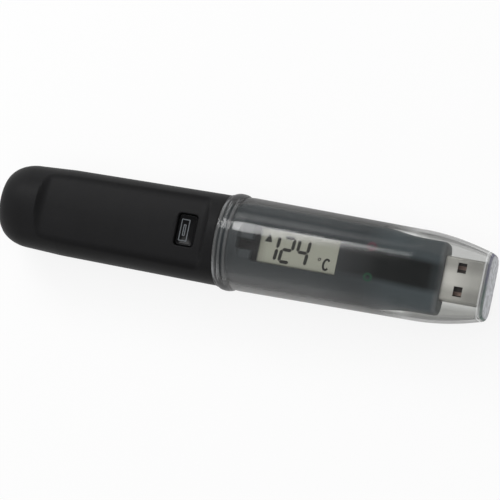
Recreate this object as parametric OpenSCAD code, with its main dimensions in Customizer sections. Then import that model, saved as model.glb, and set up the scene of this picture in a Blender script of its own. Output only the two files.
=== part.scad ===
// Stick-shaped temperature logger: a dark rear housing, a smoked front housing with a display,
// and a clear cap that pushes over the front housing and its plug.
// X runs along the stick towards the plug, Y runs across it and Z points out of the display.
// The origin is on the axis, where the mouth of the cap meets the rear housing.
// All lengths are in millimetres.

/* [Which piece] */
// Piece to draw, or all of them

/* [Rear housing] */
// Radius of the round band that the cap butts against
body_r = 12.3; // [11.8:0.1:12.3]
// Length of that round band
band_len = 2.5; // [2.4:0.1:2.6]
// Length of the rear housing
body_len = 63; // [62:0.2:68]
// Radius of the housing where the label land ends
waist_r = 11.75; // [11.6:0.05:12]
// Distance of that place from the end of the rear housing
waist_room = 18; // [17.8:0.1:20]
// Radius of the housing where its rounded end begins
rear_r = 11.25; // [11.2:0.05:11.6]
// Length of the rounded end
end_len = 8.5; // [8:0.1:9]
// Radius of the flat in the middle of the rounded end
end_flat_r = 5.6; // [5:0.05:6]
// Thickness of the side wall
wall = 1.65; // [1.4:0.05:1.7]
// Height of the inside ceiling above the axis
ceiling_z = 7; // [6.95:0.01:7.05]
// Depth of the inside floor below the axis
floor_z = 8.4; // [8.3:0.05:8.5]
// Depth of the flat underside below the axis
belly_z = 9.6; // [9.5:0.1:10]
// Where the flat underside starts, behind the mouth of the cap
belly_x = 9; // [8:0.5:12]
// Radius of the bore that takes the front housing
bore_r = 10.45; // [10.45:0.01:10.5]
// Length of that bore
bore_len = 3.2; // [3.1:0.05:3.25]

/* [Label land] */
// Height of the land's crown above the axis
land_z = 9.2; // [9.1:0.05:9.4]
// Radius of the land's crown across the stick
land_r = 30; // [26:1:40]
// Where the land's floor ends towards the cap
land_front_x = 5.4; // [5.3:0.05:5.6]
// Distance of the land's rear end from the end of the rear housing
land_room = 14; // [13.8:0.1:15.5]
// Length of the ramps at the land's two ends
ramp_len = 3.6; // [3.5:0.1:3.7]
// Rise of the ramps
ramp_rise = 3.85; // [3.8:0.05:4]
// Extra ramp drawn above the surface
ramp_over = 3; // [2:0.5:4]

/* [Button] */
// Distance of the button's centre behind the mouth of the cap
button_x = 9.1; // [9:0.05:9.2]
// Length of the button's pocket along the stick
pocket_l = 5.6; // [5.4:0.1:5.6]
// Width of the pocket across the stick
pocket_w = 8.9; // [8.6:0.1:9]
// Corner radius of the pocket
pocket_corner = 1; // [0.8:0.1:1.2]
// Depth of the button's face below the land's crown
button_sink = 1.3; // [1.2:0.05:1.4]
// Gap between the button and its pocket
button_gap = 0.15; // [0.12:0.01:0.2]
// Width of the lip that keeps the button in
button_lip = 0.9; // [0.8:0.05:0.95]
// Thickness of that lip
button_lip_t = 1; // [0.9:0.05:1.1]
// Radius of the button's stem
stem_r = 1.6; // [1.4:0.1:1.8]
// Depth of the dish in the button's face
dish_t = 0.25; // [0.2:0.05:0.3]
// Width of the rim round the dish
dish_rim = 0.55; // [0.5:0.05:0.6]
// Length of the printed frame along the stick
mark_l = 2.85; // [2.7:0.05:3]
// Width of the printed frame across the stick
mark_w = 6.15; // [6:0.05:6.3]
// Width of the printed lines
mark_line = 0.36; // [0.3:0.01:0.4]
// Length of the inner printed frame along the stick
mark_in_l = 1.3; // [1.2:0.05:1.4]
// Width of the inner printed frame across the stick
mark_in_w = 3.5; // [3.3:0.05:3.7]
// Thickness of the print
mark_t = 0.06; // [0.05:0.01:0.08]

/* [Front housing] */
// Radius of the front housing at the mouth of the cap
front_r = 11.5; // [11.45:0.01:11.52]
// Radius where its shoulders begin
front_r_end = 11.25; // [11.2:0.01:11.28]
// Length of the shoulders and the nose together
shoulder_len = 21.1; // [20.5:0.1:22]
// Length of the front housing
front_len = 61.1; // [60.5:0.1:61.5]
// Width of the nose that holds the plug
nose_w = 19.6; // [19:0.1:20]
// Height of that nose
nose_h = 8; // [7.6:0.1:8.4]
// Length of the straight part of the nose
nose_len = 7.2; // [6.8:0.1:7.6]
// Rounding at the end of the nose
nose_round = 1.3; // [1.1:0.05:1.4]
// Squareness of the nose's section, where two is an ellipse
nose_square = 4.6; // [4:0.1:5]
// Height of the flat display window above the axis
window_z = 10.4; // [10.35:0.01:10.45]
// Where the window starts
window_x = 5.6; // [5.5:0.05:6]
// Length over which the window runs in
window_run = 1.6; // [1.4:0.1:2]
// Wall of the front housing
front_wall = 1.1; // [1:0.02:1.12]
// Length of the collar pushed into the rear housing
collar_len = 3; // [2.9:0.05:3]
// Inner radius of that collar
collar_in_r = 9.2; // [9.1:0.05:9.25]
// Length of the web that joins the collar to the housing
web_len = 1.4; // [1.2:0.1:1.6]
// Radius that the web reaches
web_r = 10.9; // [10.8:0.05:10.95]
// Width of the rails under the board
rail_w = 2.6; // [2.5:0.1:2.7]
// Height of the rails
rail_h = 1.1; // [1:0.1:1.2]

/* [Cap] */
// Gap between the plug and the inside of the cap's tip
tip_gap = 0.6; // [0.5:0.05:0.8]
// Radius of the cap just behind its bead
cap_r = 12.68; // [12.66:0.01:12.8]
// Radius of the cap where it starts to flatten
cap_r_end = 12.2; // [12.18:0.01:12.25]
// Length of the part of the cap that flattens
cap_flat_len = 20.9; // [20.5:0.1:21.4]
// Wall of the cap
cap_wall = 0.82; // [0.8:0.01:0.84]
// Wall at the cap's tip
cap_tip_wall = 1.3; // [1.2:0.05:1.4]
// Width of the cap's tip
tip_w = 17.6; // [17:0.1:18]
// Height of the cap's tip
tip_h = 9.8; // [9.4:0.1:10.4]
// Rounding of the tip's edge
tip_round = 1; // [0.8:0.05:1.1]
// Squareness of the tip's section, where two is an ellipse
tip_square = 4.4; // [4:0.1:5]
// Radius of the lip at the mouth
lip_r = 12.55; // [12.5:0.01:12.6]
// Length of that lip
lip_len = 0.75; // [0.7:0.01:0.8]
// Radius over the bead
bead_r = 13.2; // [13.1:0.02:13.3]
// Distance of the bead's crest from the mouth
bead_x = 3; // [2.9:0.05:3.1]
// Length of the bead
bead_len = 5.2; // [5:0.05:5.3]
// Radius inside the bead
bead_in_r = 12.08; // [12.06:0.01:12.1]
// Radius inside the mouth
mouth_in_r = 11.82; // [11.8:0.01:11.84]

/* [Plug] */
// Width of the plug's metal shell
plug_w = 12; // [11.9:0.05:12.1]
// Height of the shell
plug_h = 4.5; // [4.45:0.01:4.55]
// Sheet thickness of the shell
plug_t = 0.3; // [0.28:0.01:0.32]
// Corner radius of the shell
plug_corner = 0.7; // [0.6:0.05:0.8]
// Width of the seam under the shell, where its sheet meets
plug_seam = 0.15; // [0.12:0.01:0.2]
// Length of the shell outside the front housing
plug_out = 10.9; // [10.7:0.05:11.1]
// Length of the shell
plug_len = 25; // [24.5:0.1:25.5]
// Sideways offset of the plug
plug_shift = 0.35; // [0.2:0.05:0.5]
// Gap round the shell in the nose
plug_gap = 0.1; // [0.08:0.01:0.15]
// Distance of the latch holes from the shell's end
hole_x = 6.25; // [6:0.05:6.4]
// Half the distance between the latch holes
hole_y = 3.2; // [3:0.05:3.4]
// Length of a latch hole along the plug
hole_l = 2.4; // [2.2:0.05:2.6]
// Width of a latch hole
hole_w = 2.7; // [2.4:0.05:2.8]
// Thickness of the tongue inside the shell
tongue_t = 1.9; // [1.8:0.05:2]
// Distance of the tongue from the shell's end
tongue_x = 0.6; // [0.5:0.05:0.8]
// Length of the contact strips
strip_l = 8.5; // [8:0.1:9]
// Width of a contact strip
strip_w = 1; // [0.9:0.05:1.1]
// Distance between the inner strips' middles
strip_near = 2; // [1.9:0.05:2.1]
// Distance between the outer strips' middles
strip_far = 7; // [6.8:0.1:7.2]
// Thickness of a contact strip
strip_t = 0.15; // [0.12:0.01:0.2]

/* [Board] */
// Thickness of the circuit board
board_t = 1.2; // [1:0.05:1.25]
// Width of the board
board_w = 16; // [15.6:0.1:16.2]
// Distance from the board's end to the end of the front housing
board_room = 9.1; // [8.8:0.1:9.5]
// Where the board ends towards the rear
board_x0 = 17.4; // [17:0.1:17.8]
// Corner radius of the board
board_corner = 1; // [0.8:0.1:1.2]
// Side of the square controller chip
chip_w = 7; // [6.6:0.1:7.4]
// Height of the chips
chip_t = 1.1; // [1:0.05:1.3]
// Distance of the controller chip behind the mouth of the cap
chip_x = 1; // [0.8:0.1:1.2]
// Height of the chip legs
leg_t = 0.25; // [0.2:0.01:0.3]
// Width of the chip legs
leg_w = 0.34; // [0.3:0.01:0.4]
// Distance between chip legs
leg_pitch = 0.8; // [0.75:0.01:0.85]
// Reach of the chip legs
leg_reach = 0.9; // [0.8:0.05:1]
// Length of the memory chip
memory_l = 4.9; // [4.6:0.1:5.2]
// Width of the memory chip
memory_w = 3.9; // [3.6:0.1:4.2]
// Distance of the memory chip from the end of the board
memory_room = 5.5; // [5.3:0.1:6]
// Length of the crystal's can
crystal_l = 7.6; // [7:0.1:8]
// Radius of the crystal's can
crystal_r = 1.3; // [1.2:0.05:1.4]
// Distance of the crystal from the shoulders
crystal_room = 2.7; // [2.6:0.05:2.8]
// Height of the small parts on the board
small_t = 0.6; // [0.5:0.05:0.7]
// Length of a small part
small_l = 1.6; // [1.5:0.05:1.7]
// Width of a small part
small_w = 0.85; // [0.8:0.05:0.9]

/* [Display] */
// Where the display's visible area starts
view_x0 = 11.6; // [11.4:0.05:11.8]
// Distance from the end of the visible area to the shoulders
view_room = 6.5; // [6.4:0.05:6.8]
// Width of the visible area
view_w = 9.4; // [9.2:0.05:9.45]
// Sideways offset of the display, away from the plug's offset
view_y = 0.35; // [0.25:0.05:0.35]
// Border of the glass round the visible area
glass_border = 0.45; // [0.4:0.05:0.45]
// Height of the glass's upper face
glass_z = 8.2; // [8.1:0.02:8.22]
// Thickness of the glass
glass_t = 1.9; // [1.8:0.05:2]
// Wall of the frame that holds the glass
frame_t = 0.6; // [0.5:0.05:0.62]
// Lip of the frame over the glass
frame_lip = 0.3; // [0.25:0.01:0.32]
// Length of the frame's end bar towards the rear housing
bar_l = 1.3; // [1.1:0.05:1.4]
// Length of the tab behind that bar
tab_l = 3.9; // [3.6:0.1:4]
// Width of that tab
tab_w = 2.6; // [2.4:0.1:2.8]
// Distance of the tab's middle from the display's middle
tab_y = 0.65; // [0.5:0.05:0.8]
// Thickness of that tab
tab_t = 0.9; // [0.8:0.05:1]
// Drop of the tab below the glass's upper face
tab_drop = 0.8; // [0.7:0.05:0.9]
// Width of the rubber contact strips under the glass
zebra_w = 1.3; // [1.2:0.05:1.4]
// Gap between the strokes of the digits
stroke_gap = 0.12; // [0.1:0.01:0.14]
// Slope of the digits, in degrees
digit_lean = 4.5; // [3:0.5:7]
// Thickness of the digits
ink_t = 0.05; // [0.04:0.01:0.06]

/* [Lamps] */
// Distance of the two lamps in front of the start of the shoulders
lamp_room = 2.5; // [2.3:0.1:2.6]
// Half the distance between the lamps
lamp_y = 3.85; // [3.7:0.05:3.9]
// Radius of a lamp
lamp_r = 1.5; // [1.4:0.02:1.5]
// Radius of the flange under a lamp
lamp_flange_r = 1.8; // [1.7:0.02:1.85]
// Thickness of that flange
lamp_flange_t = 0.8; // [0.7:0.05:0.9]
// Height of a lamp's top above the axis
lamp_top = 6.6; // [6.4:0.05:6.8]
// Height of the holder under the lamps
holder_h = 3.4; // [3.2:0.1:3.6]
// Length of the holder
holder_l = 4.4; // [4.2:0.1:4.6]

/* [Switch] */
// Side of the square switch
switch_w = 6; // [5.8:0.1:6.2]
// Height of the switch
switch_h = 3.5; // [3.4:0.05:3.6]
// Radius of its plunger
plunger_r = 1.75; // [1.7:0.05:1.8]
// Height of the plunger's top above the axis
plunger_top = 4; // [3.9:0.05:4.1]
// Gap round the plunger
plunger_gap = 0.1; // [0.08:0.01:0.12]
// Travel left under the plunger
plunger_travel = 0.7; // [0.6:0.05:0.8]
// Thickness of the switch's steel cover
cover_t = 0.3; // [0.25:0.01:0.35]

/* [Battery] */
// Radius of the cell
cell_r = 7.25; // [7.2:0.01:7.28]
// Length of the rear housing that the cell's can leaves free
cell_room = 38; // [37.9:0.05:38.4]
// Rounding of the can's ends
cell_round = 0.6; // [0.5:0.05:0.7]
// Radius of the cell's button
nub_r = 2.9; // [2.7:0.1:3.1]
// Length of the cell's button
nub_l = 0.8; // [0.7:0.05:0.9]
// Where the can ends towards the board
cell_x = 20.6; // [20.5:0.05:20.7]
// Height of the cell's axis below the stick's axis
cell_drop = 0.5; // [0.49:0.01:0.51]
// Thickness of the carrier's floor
carrier_t = 0.6; // [0.58:0.01:0.62]
// Width of the carrier's floor
carrier_w = 11; // [10.6:0.1:11.4]
// Thickness of the carrier's end walls
carrier_wall = 1.4; // [1.3:0.05:1.5]
// Width of the carrier's end walls
carrier_wall_w = 14; // [13:0.2:14.4]
// Height of the end walls' tops above the axis
carrier_top = 4.5; // [4:0.1:5]
// Gap between the carrier and the round wall of the housing
carrier_gap = 0.15; // [0.12:0.01:0.2]
// Thickness of the battery contacts
contact_t = 0.4; // [0.35:0.01:0.45]
// Width of the battery contacts
contact_w = 8; // [7.6:0.1:8.4]
// Height of the battery contacts
contact_h = 9; // [8.6:0.1:9.4]
// Radius of the contact spring's wire
wire_r = 0.3; // [0.28:0.01:0.32]
// Turns of the contact spring
spring_turns = 2; // [1.5:0.5:2]
// Radius of the spring's innermost turn
spring_in_r = 1.4; // [1.3:0.1:1.6]
// Height of the posts that carry the board
post_l = 3; // [2.8:0.1:3.2]
// Width of these posts
post_w = 3; // [2.8:0.1:3.2]
// Half the distance between the posts
post_y = 4; // [3.9:0.05:4.1]

/* [Socket] */
// Width of the lead socket
socket_w = 16; // [15.6:0.1:16.2]
// Height of the socket
socket_h = 7.9; // [7.6:0.1:8]
// Depth of the socket's face in the end of the rear housing
socket_sink = 2.2; // [2:0.05:2.4]
// Length of the socket
socket_l = 11.2; // [11:0.1:11.4]
// Corner radius of the socket
socket_corner = 1.2; // [1:0.05:1.4]
// Gap round the socket in its opening
socket_gap = 0.12; // [0.1:0.01:0.15]
// Reach of the socket's inner flange
socket_flange = 0.55; // [0.5:0.01:0.6]
// Length of that flange
socket_flange_l = 2; // [1.8:0.1:2.2]
// Half the distance between the two slots
slot_y = 3.95; // [3.9:0.01:4]
// Width of the wide slot
slot_wide = 3.4; // [3.3:0.05:3.5]
// Width of the narrow slot
slot_narrow = 2.6; // [2.5:0.05:2.7]
// Height of both slots
slot_h = 1.3; // [1.2:0.05:1.4]
// Depth of both slots
slot_l = 10; // [9.6:0.1:10.2]
// Thickness of the contact blades
blade_t = 0.35; // [0.3:0.01:0.4]
// Length of the contact blades
blade_l = 11.4; // [11:0.1:11.6]

/* [Seals] */
// Radius of the floor of the cap seal's groove
seal_floor_r = 11.02; // [11:0.01:11.05]
// Radius of the seal's round section
seal_r = 0.5; // [0.48:0.01:0.52]
// Radius of the floor of the housing seal's groove
joint_floor_r = 9.85; // [9.82:0.01:9.88]
// Radius over the housing seal
joint_seal_r = 10.42; // [10.4:0.01:10.43]
// Length of the housing seal
joint_seal_l = 0.9; // [0.8:0.02:1]

/* [Hidden] */
// Facets of a full circle
$fn = 64;
// Overrun of every cut
cut = 1;
// Steps of an arc drawn as straight pieces
arc_steps = 9;
// Steps of a rounded corner
corner_steps = 5;
// Half the opening of a round letter, in degrees
ring_open = 42;
// Points round the flattened part of the cap
cap_points = 64;
// Points down each side of the front housing's section
side_points = 22;
// Pieces of the window's flat
flat_points = 6;
// Steps along a swept part
sweep_steps = 9;
// Flat that is left on the round part of the front housing, as a share of its radius
round_share = 0.9975;
// How fast the cap narrows in width
cap_bend_w = 1.8;
// How fast the cap narrows in height
cap_bend_h = 1.5;
// Gap between a lofted surface and the round wall that it starts in
seam = 0.02;
// Overlap of the cap's two parts
seam_l = 0.5;

// Shares of the visible area that the display's signs take
digit_h_share = 0.798;
digit_w_share = 0.169;
digit_pitch_share = 0.226;
digit_drop_share = 0.02;
stroke_share = 0.24;
thin_share = 0.16;
first_share = 0.166;
second_share = 0.841;
third_share = 1.708;
arrow_w_share = 0.048;
arrow_h_share = 0.255;
arrow_x_share = 0.1;
arrow_y_share = 0.142;
sign_share = 0.595;
sign_h_share = 0.453;
sign_x_share = 0.118;
sign_y_share = 0.214;
dot_share = 0.12;
dot_x_share = 0.217;
dot_y_share = 0.097;

waist_x = body_len - waist_room;
land_rear_x = body_len - land_room;
shoulder_x = front_len - shoulder_len;
plug_x = front_len + plug_out;
cap_len = plug_x + tip_gap + cap_tip_wall;
cap_round_len = cap_len - cap_flat_len;
board_x1 = front_len - board_room;
memory_x = board_x1 - memory_room;
crystal_x = shoulder_x - crystal_room;
view_x1 = shoulder_x - view_room;
lamp_x = shoulder_x + lamp_room;
cell_l = body_len - cell_room;
socket_x = body_len - socket_sink;
socket_end = socket_x - socket_l;
digit_w = (view_x1 - view_x0) * digit_w_share;
digit_pitch = (view_x1 - view_x0) * digit_pitch_share;
digit_h = view_w * digit_h_share;
stroke = digit_w * stroke_share;
board_top = -plug_h / 2;
board_z = board_top - board_t;
button_z = land_z - button_sink;
lip_top = ceiling_z;
cell_z = -cell_drop;
frame_w = view_w + 2 * glass_border + 2 * seam;
glass_w = frame_w - frame_t;
plug_x0 = plug_x - plug_len;

// A rounded rectangle as a list of points
function rounded(w, h, r) = [for (q = [0:3]) for (i = [0:corner_steps])
    let (a = q * 90 + i * 90 / corner_steps)
    [((q == 0 || q == 3) ? 1 : -1) * (w / 2 - r) + r * cos(a), (q < 2 ? 1 : -1) * (h / 2 - r) + r * sin(a)]];

// A power that keeps the sign
function bent(v, p) = sign(v) * pow(abs(v), 2 / p);

// Turns a shape whose axis is Z so that its axis is X
module along_x() {
    rotate([0, 90, 0])
        children();
}

// A round bar along X
module bar_x(x0, x1, r) {
    translate([x0, 0, 0])
        along_x()
            cylinder(r = r, h = x1 - x0);
}

// A turned body along X, from points of radius and place
module turned(points) {
    along_x()
        rotate_extrude()
            polygon(points);
}

// A box between two places along X, centred across
module slab(x0, x1, w, z0, z1, y = 0) {
    translate([x0, y - w / 2, z0])
        cube([x1 - x0, w, z1 - z0]);
}

// A rounded bar along X
module prism_x(x0, x1, w, h, r) {
    translate([x0, 0, 0])
        rotate([90, 0, 90])
            linear_extrude(height = x1 - x0)
                polygon(rounded(w, h, r));
}

// A rounded plate that stands along Z
module prism_z(x, y, z0, z1, l, w, r) {
    translate([x, y, z0])
        linear_extrude(height = z1 - z0)
            polygon(rounded(l, w, r));
}

// A closed shell from outer and inner rings of points that run along X
module shell(outer, inner) {
    n = len(outer[0]);
    a = len(outer);
    b = len(inner);
    points = concat([for (r = outer) for (p = r) p], [for (r = inner) for (p = r) p]);
    sides = [for (i = [0:a - 2]) for (j = [0:n - 1]) for (f = [
        [i * n + j, (i + 1) * n + j, (i + 1) * n + (j + 1) % n],
        [i * n + j, (i + 1) * n + (j + 1) % n, i * n + (j + 1) % n]]) f];
    walls = [for (i = [a:a + b - 2]) for (j = [0:n - 1]) for (f = [
        [i * n + j, (i + 1) * n + (j + 1) % n, (i + 1) * n + j],
        [i * n + j, i * n + (j + 1) % n, (i + 1) * n + (j + 1) % n]]) f];
    mouth = [for (j = [0:n - 1]) [j, (j + 1) % n, a * n + (j + 1) % n, a * n + j]];
    tip = [[for (j = [0:n - 1]) (a - 1) * n + n - 1 - j]];
    inner_tip = [[for (j = [0:n - 1]) (a + b - 1) * n + j]];
    polyhedron(points = points, faces = concat(sides, walls, mouth, tip, inner_tip), convexity = 6);
}

// Rise of the label land's ramp: its foot is rounded and the rest is straight
ramp_shares = [[0, 0], [0.16, 0.02], [0.32, 0.11], [0.46, 0.26], [0.58, 0.45], [0.7, 0.68], [1, 1.3]];

// The space above the label land, with a ramp at each of its ends
module land_space() {
    front = -land_front_x;
    rear = -land_rear_x;
    difference() {
        slab(rear - 2 * ramp_len, front + 2 * ramp_len, 4 * body_r, 0, 2 * body_r);
        translate([0, 0, land_z - land_r])
            turned(concat(
                [[0, rear - 3 * ramp_len], [land_r + ramp_rise + ramp_over, rear - 3 * ramp_len],
                    [land_r + ramp_rise + ramp_over, rear - ramp_len - ramp_over]],
                [for (i = [len(ramp_shares) - 1:-1:0])
                    [land_r + ramp_shares[i][1] * ramp_rise, rear - ramp_shares[i][0] * ramp_len]],
                [for (i = [0:len(ramp_shares) - 1])
                    [land_r + ramp_shares[i][1] * ramp_rise, front + ramp_shares[i][0] * ramp_len]],
                [[land_r + ramp_rise + ramp_over, front + ramp_len + ramp_over],
                    [land_r + ramp_rise + ramp_over, front + 3 * ramp_len], [0, front + 3 * ramp_len]]));
    }
}

module rear_housing() {
    inner_end = body_len - end_len + (end_len - wall) / 2;
    color([0.12, 0.12, 0.125])
        difference() {
            turned(concat(
                [[0, 0], [body_r, 0], [body_r, -band_len], [waist_r, -waist_x]],
                [for (i = [0:arc_steps]) let (a = i * 90 / arc_steps)
                    [end_flat_r + (rear_r - end_flat_r) * cos(a), -(body_len - end_len) - end_len * sin(a)]],
                [[0, -body_len]]));
            // the label land and the flat underside
            land_space();
            translate([0, 2 * body_r, 0])
                rotate([90, 0, 0])
                    linear_extrude(height = 4 * body_r)
                        polygon([[-body_len - cut, -belly_z], [-belly_x, -belly_z],
                            [-belly_x + ramp_rise, -belly_z - ramp_rise],
                            [-body_len - cut, -belly_z - ramp_rise]]);
            // the bore for the front housing and the room behind it
            bar_x(-bore_len, cut, bore_r);
            intersection() {
                turned([[0, -bore_len + cut], [bore_r, -bore_len + cut], [waist_r - wall, -waist_x],
                    [rear_r - wall, end_len - body_len], [end_flat_r + wall, -inner_end], [0, -inner_end]]);
                slab(-body_len, cut, 2 * body_r, -floor_z, ceiling_z);
            }
            // the button's pocket and the lead socket's opening
            prism_z(-button_x, 0, 0, land_z + cut, pocket_l, pocket_w, pocket_corner);
            prism_x(-body_len - cut, end_len - body_len, socket_w + 2 * socket_gap, socket_h + 2 * socket_gap,
                socket_corner);
        }
}

module button_key() {
    l = pocket_l - 2 * button_gap;
    w = pocket_w - 2 * button_gap;
    color([0.05, 0.05, 0.055])
        difference() {
            union() {
                prism_z(-button_x, 0, lip_top - button_lip_t / 2, button_z, l, w, pocket_corner);
                prism_z(-button_x, 0, lip_top - button_lip_t, lip_top, pocket_l + 2 * button_lip,
                    pocket_w + 2 * button_lip, pocket_corner);
                translate([-button_x, 0, plunger_top])
                    cylinder(r = stem_r, h = lip_top - button_lip_t / 2 - plunger_top);
            }
            prism_z(-button_x, 0, button_z - dish_t, button_z + cut, l - 2 * dish_rim, w - 2 * dish_rim,
                pocket_corner - dish_rim / 2);
        }
}

// A flat rectangular frame
module outline(x, z, l, w, line, t) {
    difference() {
        translate([x - l / 2, -w / 2, z])
            cube([l, w, t]);
        translate([x - l / 2 + line, -w / 2 + line, z - cut])
            cube([l - 2 * line, w - 2 * line, t + 2 * cut]);
    }
}

module button_mark() {
    color([0.62, 0.66, 0.68]) {
        outline(-button_x, button_z - dish_t, mark_l, mark_w, mark_line, mark_t);
        outline(-button_x, button_z - dish_t, mark_in_l, mark_in_w, mark_line, mark_t);
    }
}

module switch_body() {
    top = board_top + switch_h;
    color([0.3, 0.3, 0.3])
        difference() {
            union() {
                prism_z(-button_x, 0, board_top, top - cover_t, switch_w, switch_w, cover_t);
                prism_z(-button_x, 0, top - cover_t, top, switch_w - cover_t, switch_w - cover_t, cover_t);
                for (s = [-1, 1]) {
                    slab(-button_x - leg_reach / 2, -button_x + leg_reach / 2, leg_reach + cover_t, board_top,
                        board_top + cover_t, s * (switch_w / 2 + leg_reach / 2));
                }
            }
            translate([-button_x, 0, plunger_top - switch_h])
                cylinder(r = plunger_r + plunger_gap, h = switch_h + cut);
        }
}

module switch_plunger() {
    color([0.1, 0.1, 0.1])
        translate([-button_x, 0, plunger_top - switch_h + plunger_travel])
            cylinder(r = plunger_r, h = switch_h - plunger_travel);
}

// Width and height of the front housing at a place, where share runs along its shoulders
function shoulder(u) = u * u * (3 - 2 * u);

// One ring of the front housing's section, with its flat on top
function front_ring(x, a, b, flat, p) =
    let (c = asin(pow(flat / b, p / 2)))
    let (side = [for (i = [0:side_points]) let (t = -90 + (c + 90) * i / side_points)
        [x, a * bent(cos(t), p), b * bent(sin(t), p)]])
    let (top = side[side_points][1])
    concat(side,
        [for (i = [1:flat_points - 1]) [x, top - 2 * top * i / flat_points, flat]],
        [for (i = [side_points:-1:1]) [x, -side[i][1], side[i][2]]]);

// A ring of the front housing at place x, drawn in by d
function front_at(x, d) =
    let (r = front_r + (front_r_end - front_r) * min(x, shoulder_x) / shoulder_x)
    let (u = max(0, min(1, (x - shoulder_x) / (front_len - nose_len - shoulder_x))))
    let (v = max(0, min(1, (x - shoulder_x) / (front_len - shoulder_x))))
    let (k = max(0, min(1, (x - window_x) / window_run)))
    let (a = r + (nose_w / 2 - r) * shoulder(u))
    let (b = r + (nose_h / 2 / round_share - r) * shoulder(v))
    let (flat = x < shoulder_x ? r * round_share + (window_z - r * round_share) * k
        : window_z + (nose_h / 2 - window_z) * shoulder(v))
    let (p = 2 + (nose_square - 2) * shoulder(v))
    front_ring(x, a - d, b - d, flat - d, p);

// The space of a groove round the housing
module groove(x, l, floor_r, out_r) {
    turned([[floor_r, x - l / 2], [out_r, x - l / 2], [out_r, x + l / 2], [floor_r, x + l / 2]]);
}

module front_housing() {
    outer = concat(
        [for (x = [0, window_x, window_x + window_run, shoulder_x / 2]) front_at(x, 0)],
        [for (i = [0:sweep_steps])
            front_at(shoulder_x + (front_len - nose_round - shoulder_x) * i / sweep_steps, 0)],
        [for (i = [1:4]) let (a = i * 22.5)
            front_at(front_len - nose_round + nose_round * sin(a), nose_round * (1 - cos(a)))]);
    inner_len = front_len - front_wall;
    inner = concat(
        [for (x = [0, window_x, window_x + window_run, shoulder_x / 2]) front_at(x, front_wall)],
        [for (i = [0:sweep_steps])
            front_at(shoulder_x + (inner_len - shoulder_x) * i / sweep_steps, front_wall)]);
    color([0.30, 0.34, 0.36, 0.45])
        difference() {
            union() {
                shell(outer, inner);
                // the collar that goes into the rear housing, and its web
                turned([[collar_in_r, -collar_len], [bore_r - plug_gap, -collar_len],
                    [bore_r - plug_gap, web_len / 2], [web_r, web_len / 2], [web_r, web_len * 3 / 2],
                    [collar_in_r, web_len * 3 / 2]]);
                // the rails that carry the board
                for (s = [-1, 1]) {
                    slab(window_x + window_run, shoulder_x, rail_w, board_z - rail_h, board_z,
                        s * (board_w / 2 - rail_w / 4 + rail_w / 2));
                }
            }
            // the cap seal's groove, the housing seal's groove and the plug's slot
            groove(bead_x, 2 * seal_r, seal_floor_r, front_r + cut);
            groove(-collar_len / 2, joint_seal_l, joint_floor_r, bore_r + cut);
            translate([0, plug_shift, 0])
                prism_x(front_len - 4 * front_wall, front_len + cut, plug_w + 2 * plug_gap,
                    plug_h + 2 * plug_gap, plug_corner + plug_gap);
        }
}

module housing_seal() {
    edge = joint_seal_l / 4;
    x = -collar_len / 2;
    color([0.08, 0.08, 0.08])
        turned([[joint_floor_r, x - joint_seal_l / 2], [joint_seal_r - edge, x - joint_seal_l / 2],
            [joint_seal_r, x - joint_seal_l / 2 + edge], [joint_seal_r, x + joint_seal_l / 2 - edge],
            [joint_seal_r - edge, x + joint_seal_l / 2], [joint_floor_r, x + joint_seal_l / 2]]);
}

module cap_seal() {
    c = asin((seal_floor_r - front_r) / seal_r);
    color([0.08, 0.08, 0.08])
        along_x()
            rotate_extrude()
                translate([front_r, bead_x])
                    polygon([for (i = [0:4 * corner_steps])
                        let (a = c + (180 - 2 * c) * i / (4 * corner_steps))
                        [seal_r * sin(a), -seal_r * cos(a)]]);
}

// Half width and half height of the cap where it flattens, by the share of that length
function cap_half_w(u) = cap_r_end + (tip_w / 2 - cap_r_end) * pow(u, cap_bend_w);
function cap_half_h(u) = cap_r_end + (tip_h / 2 - cap_r_end) * pow(u, cap_bend_h);

// A ring of the cap at place x, drawn in by d
function cap_ring(x, d) =
    let (u = max(0, (x - cap_round_len) / (cap_len - cap_round_len)))
    let (p = 2 + (tip_square - 2) * u)
    [for (j = [0:cap_points - 1]) let (t = j * 360 / cap_points)
        [x, (cap_half_w(u) - d) * bent(cos(t), p), (cap_half_h(u) - d) * bent(sin(t), p)]];

module cap() {
    x0 = cap_round_len - seam_l;
    outer = concat(
        [cap_ring(x0, seam)],
        [for (i = [0:sweep_steps])
            cap_ring(cap_round_len + (cap_len - tip_round - cap_round_len) * i / sweep_steps, seam)],
        [for (i = [1:4]) let (a = i * 22.5)
            cap_ring(cap_len - tip_round + tip_round * sin(a), seam + tip_round * (1 - cos(a)))]);
    inner_len = cap_len - cap_tip_wall;
    inner = concat(
        [cap_ring(x0, cap_wall - seam)],
        [for (i = [0:sweep_steps])
            cap_ring(cap_round_len + (inner_len - cap_round_len) * i / sweep_steps, cap_wall - seam)]);
    rise = bead_r - cap_r;
    color([0.86, 0.9, 0.9, 0.22])
        union() {
            shell(outer, inner);
            turned(concat(
                [[mouth_in_r, 0], [lip_r - seam, 0], [lip_r, seam], [lip_r, lip_len],
                    [lip_r - seam, bead_x - bead_len / 2]],
                [for (i = [1:2 * arc_steps - 1]) let (a = i * 180 / (2 * arc_steps))
                    [cap_r - seam + (rise + seam) * sin(a), bead_x - bead_len / 2 * cos(a)]],
                [[cap_r, bead_x + bead_len / 2], [cap_r_end, cap_round_len],
                    [cap_r_end - cap_wall, cap_round_len], [cap_r - cap_wall, bead_x + bead_len / 2],
                    [bead_in_r, bead_x + bead_len / 4],
                    [bead_in_r, bead_x - bead_len / 4], [mouth_in_r, bead_x - bead_len / 2]]));
        }
}

module circuit_board() {
    color([0.05, 0.22, 0.12])
        prism_z((board_x1 - board_x0) / 2, 0, board_z, board_top, board_x1 + board_x0, board_w,
            board_corner);
}

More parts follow.
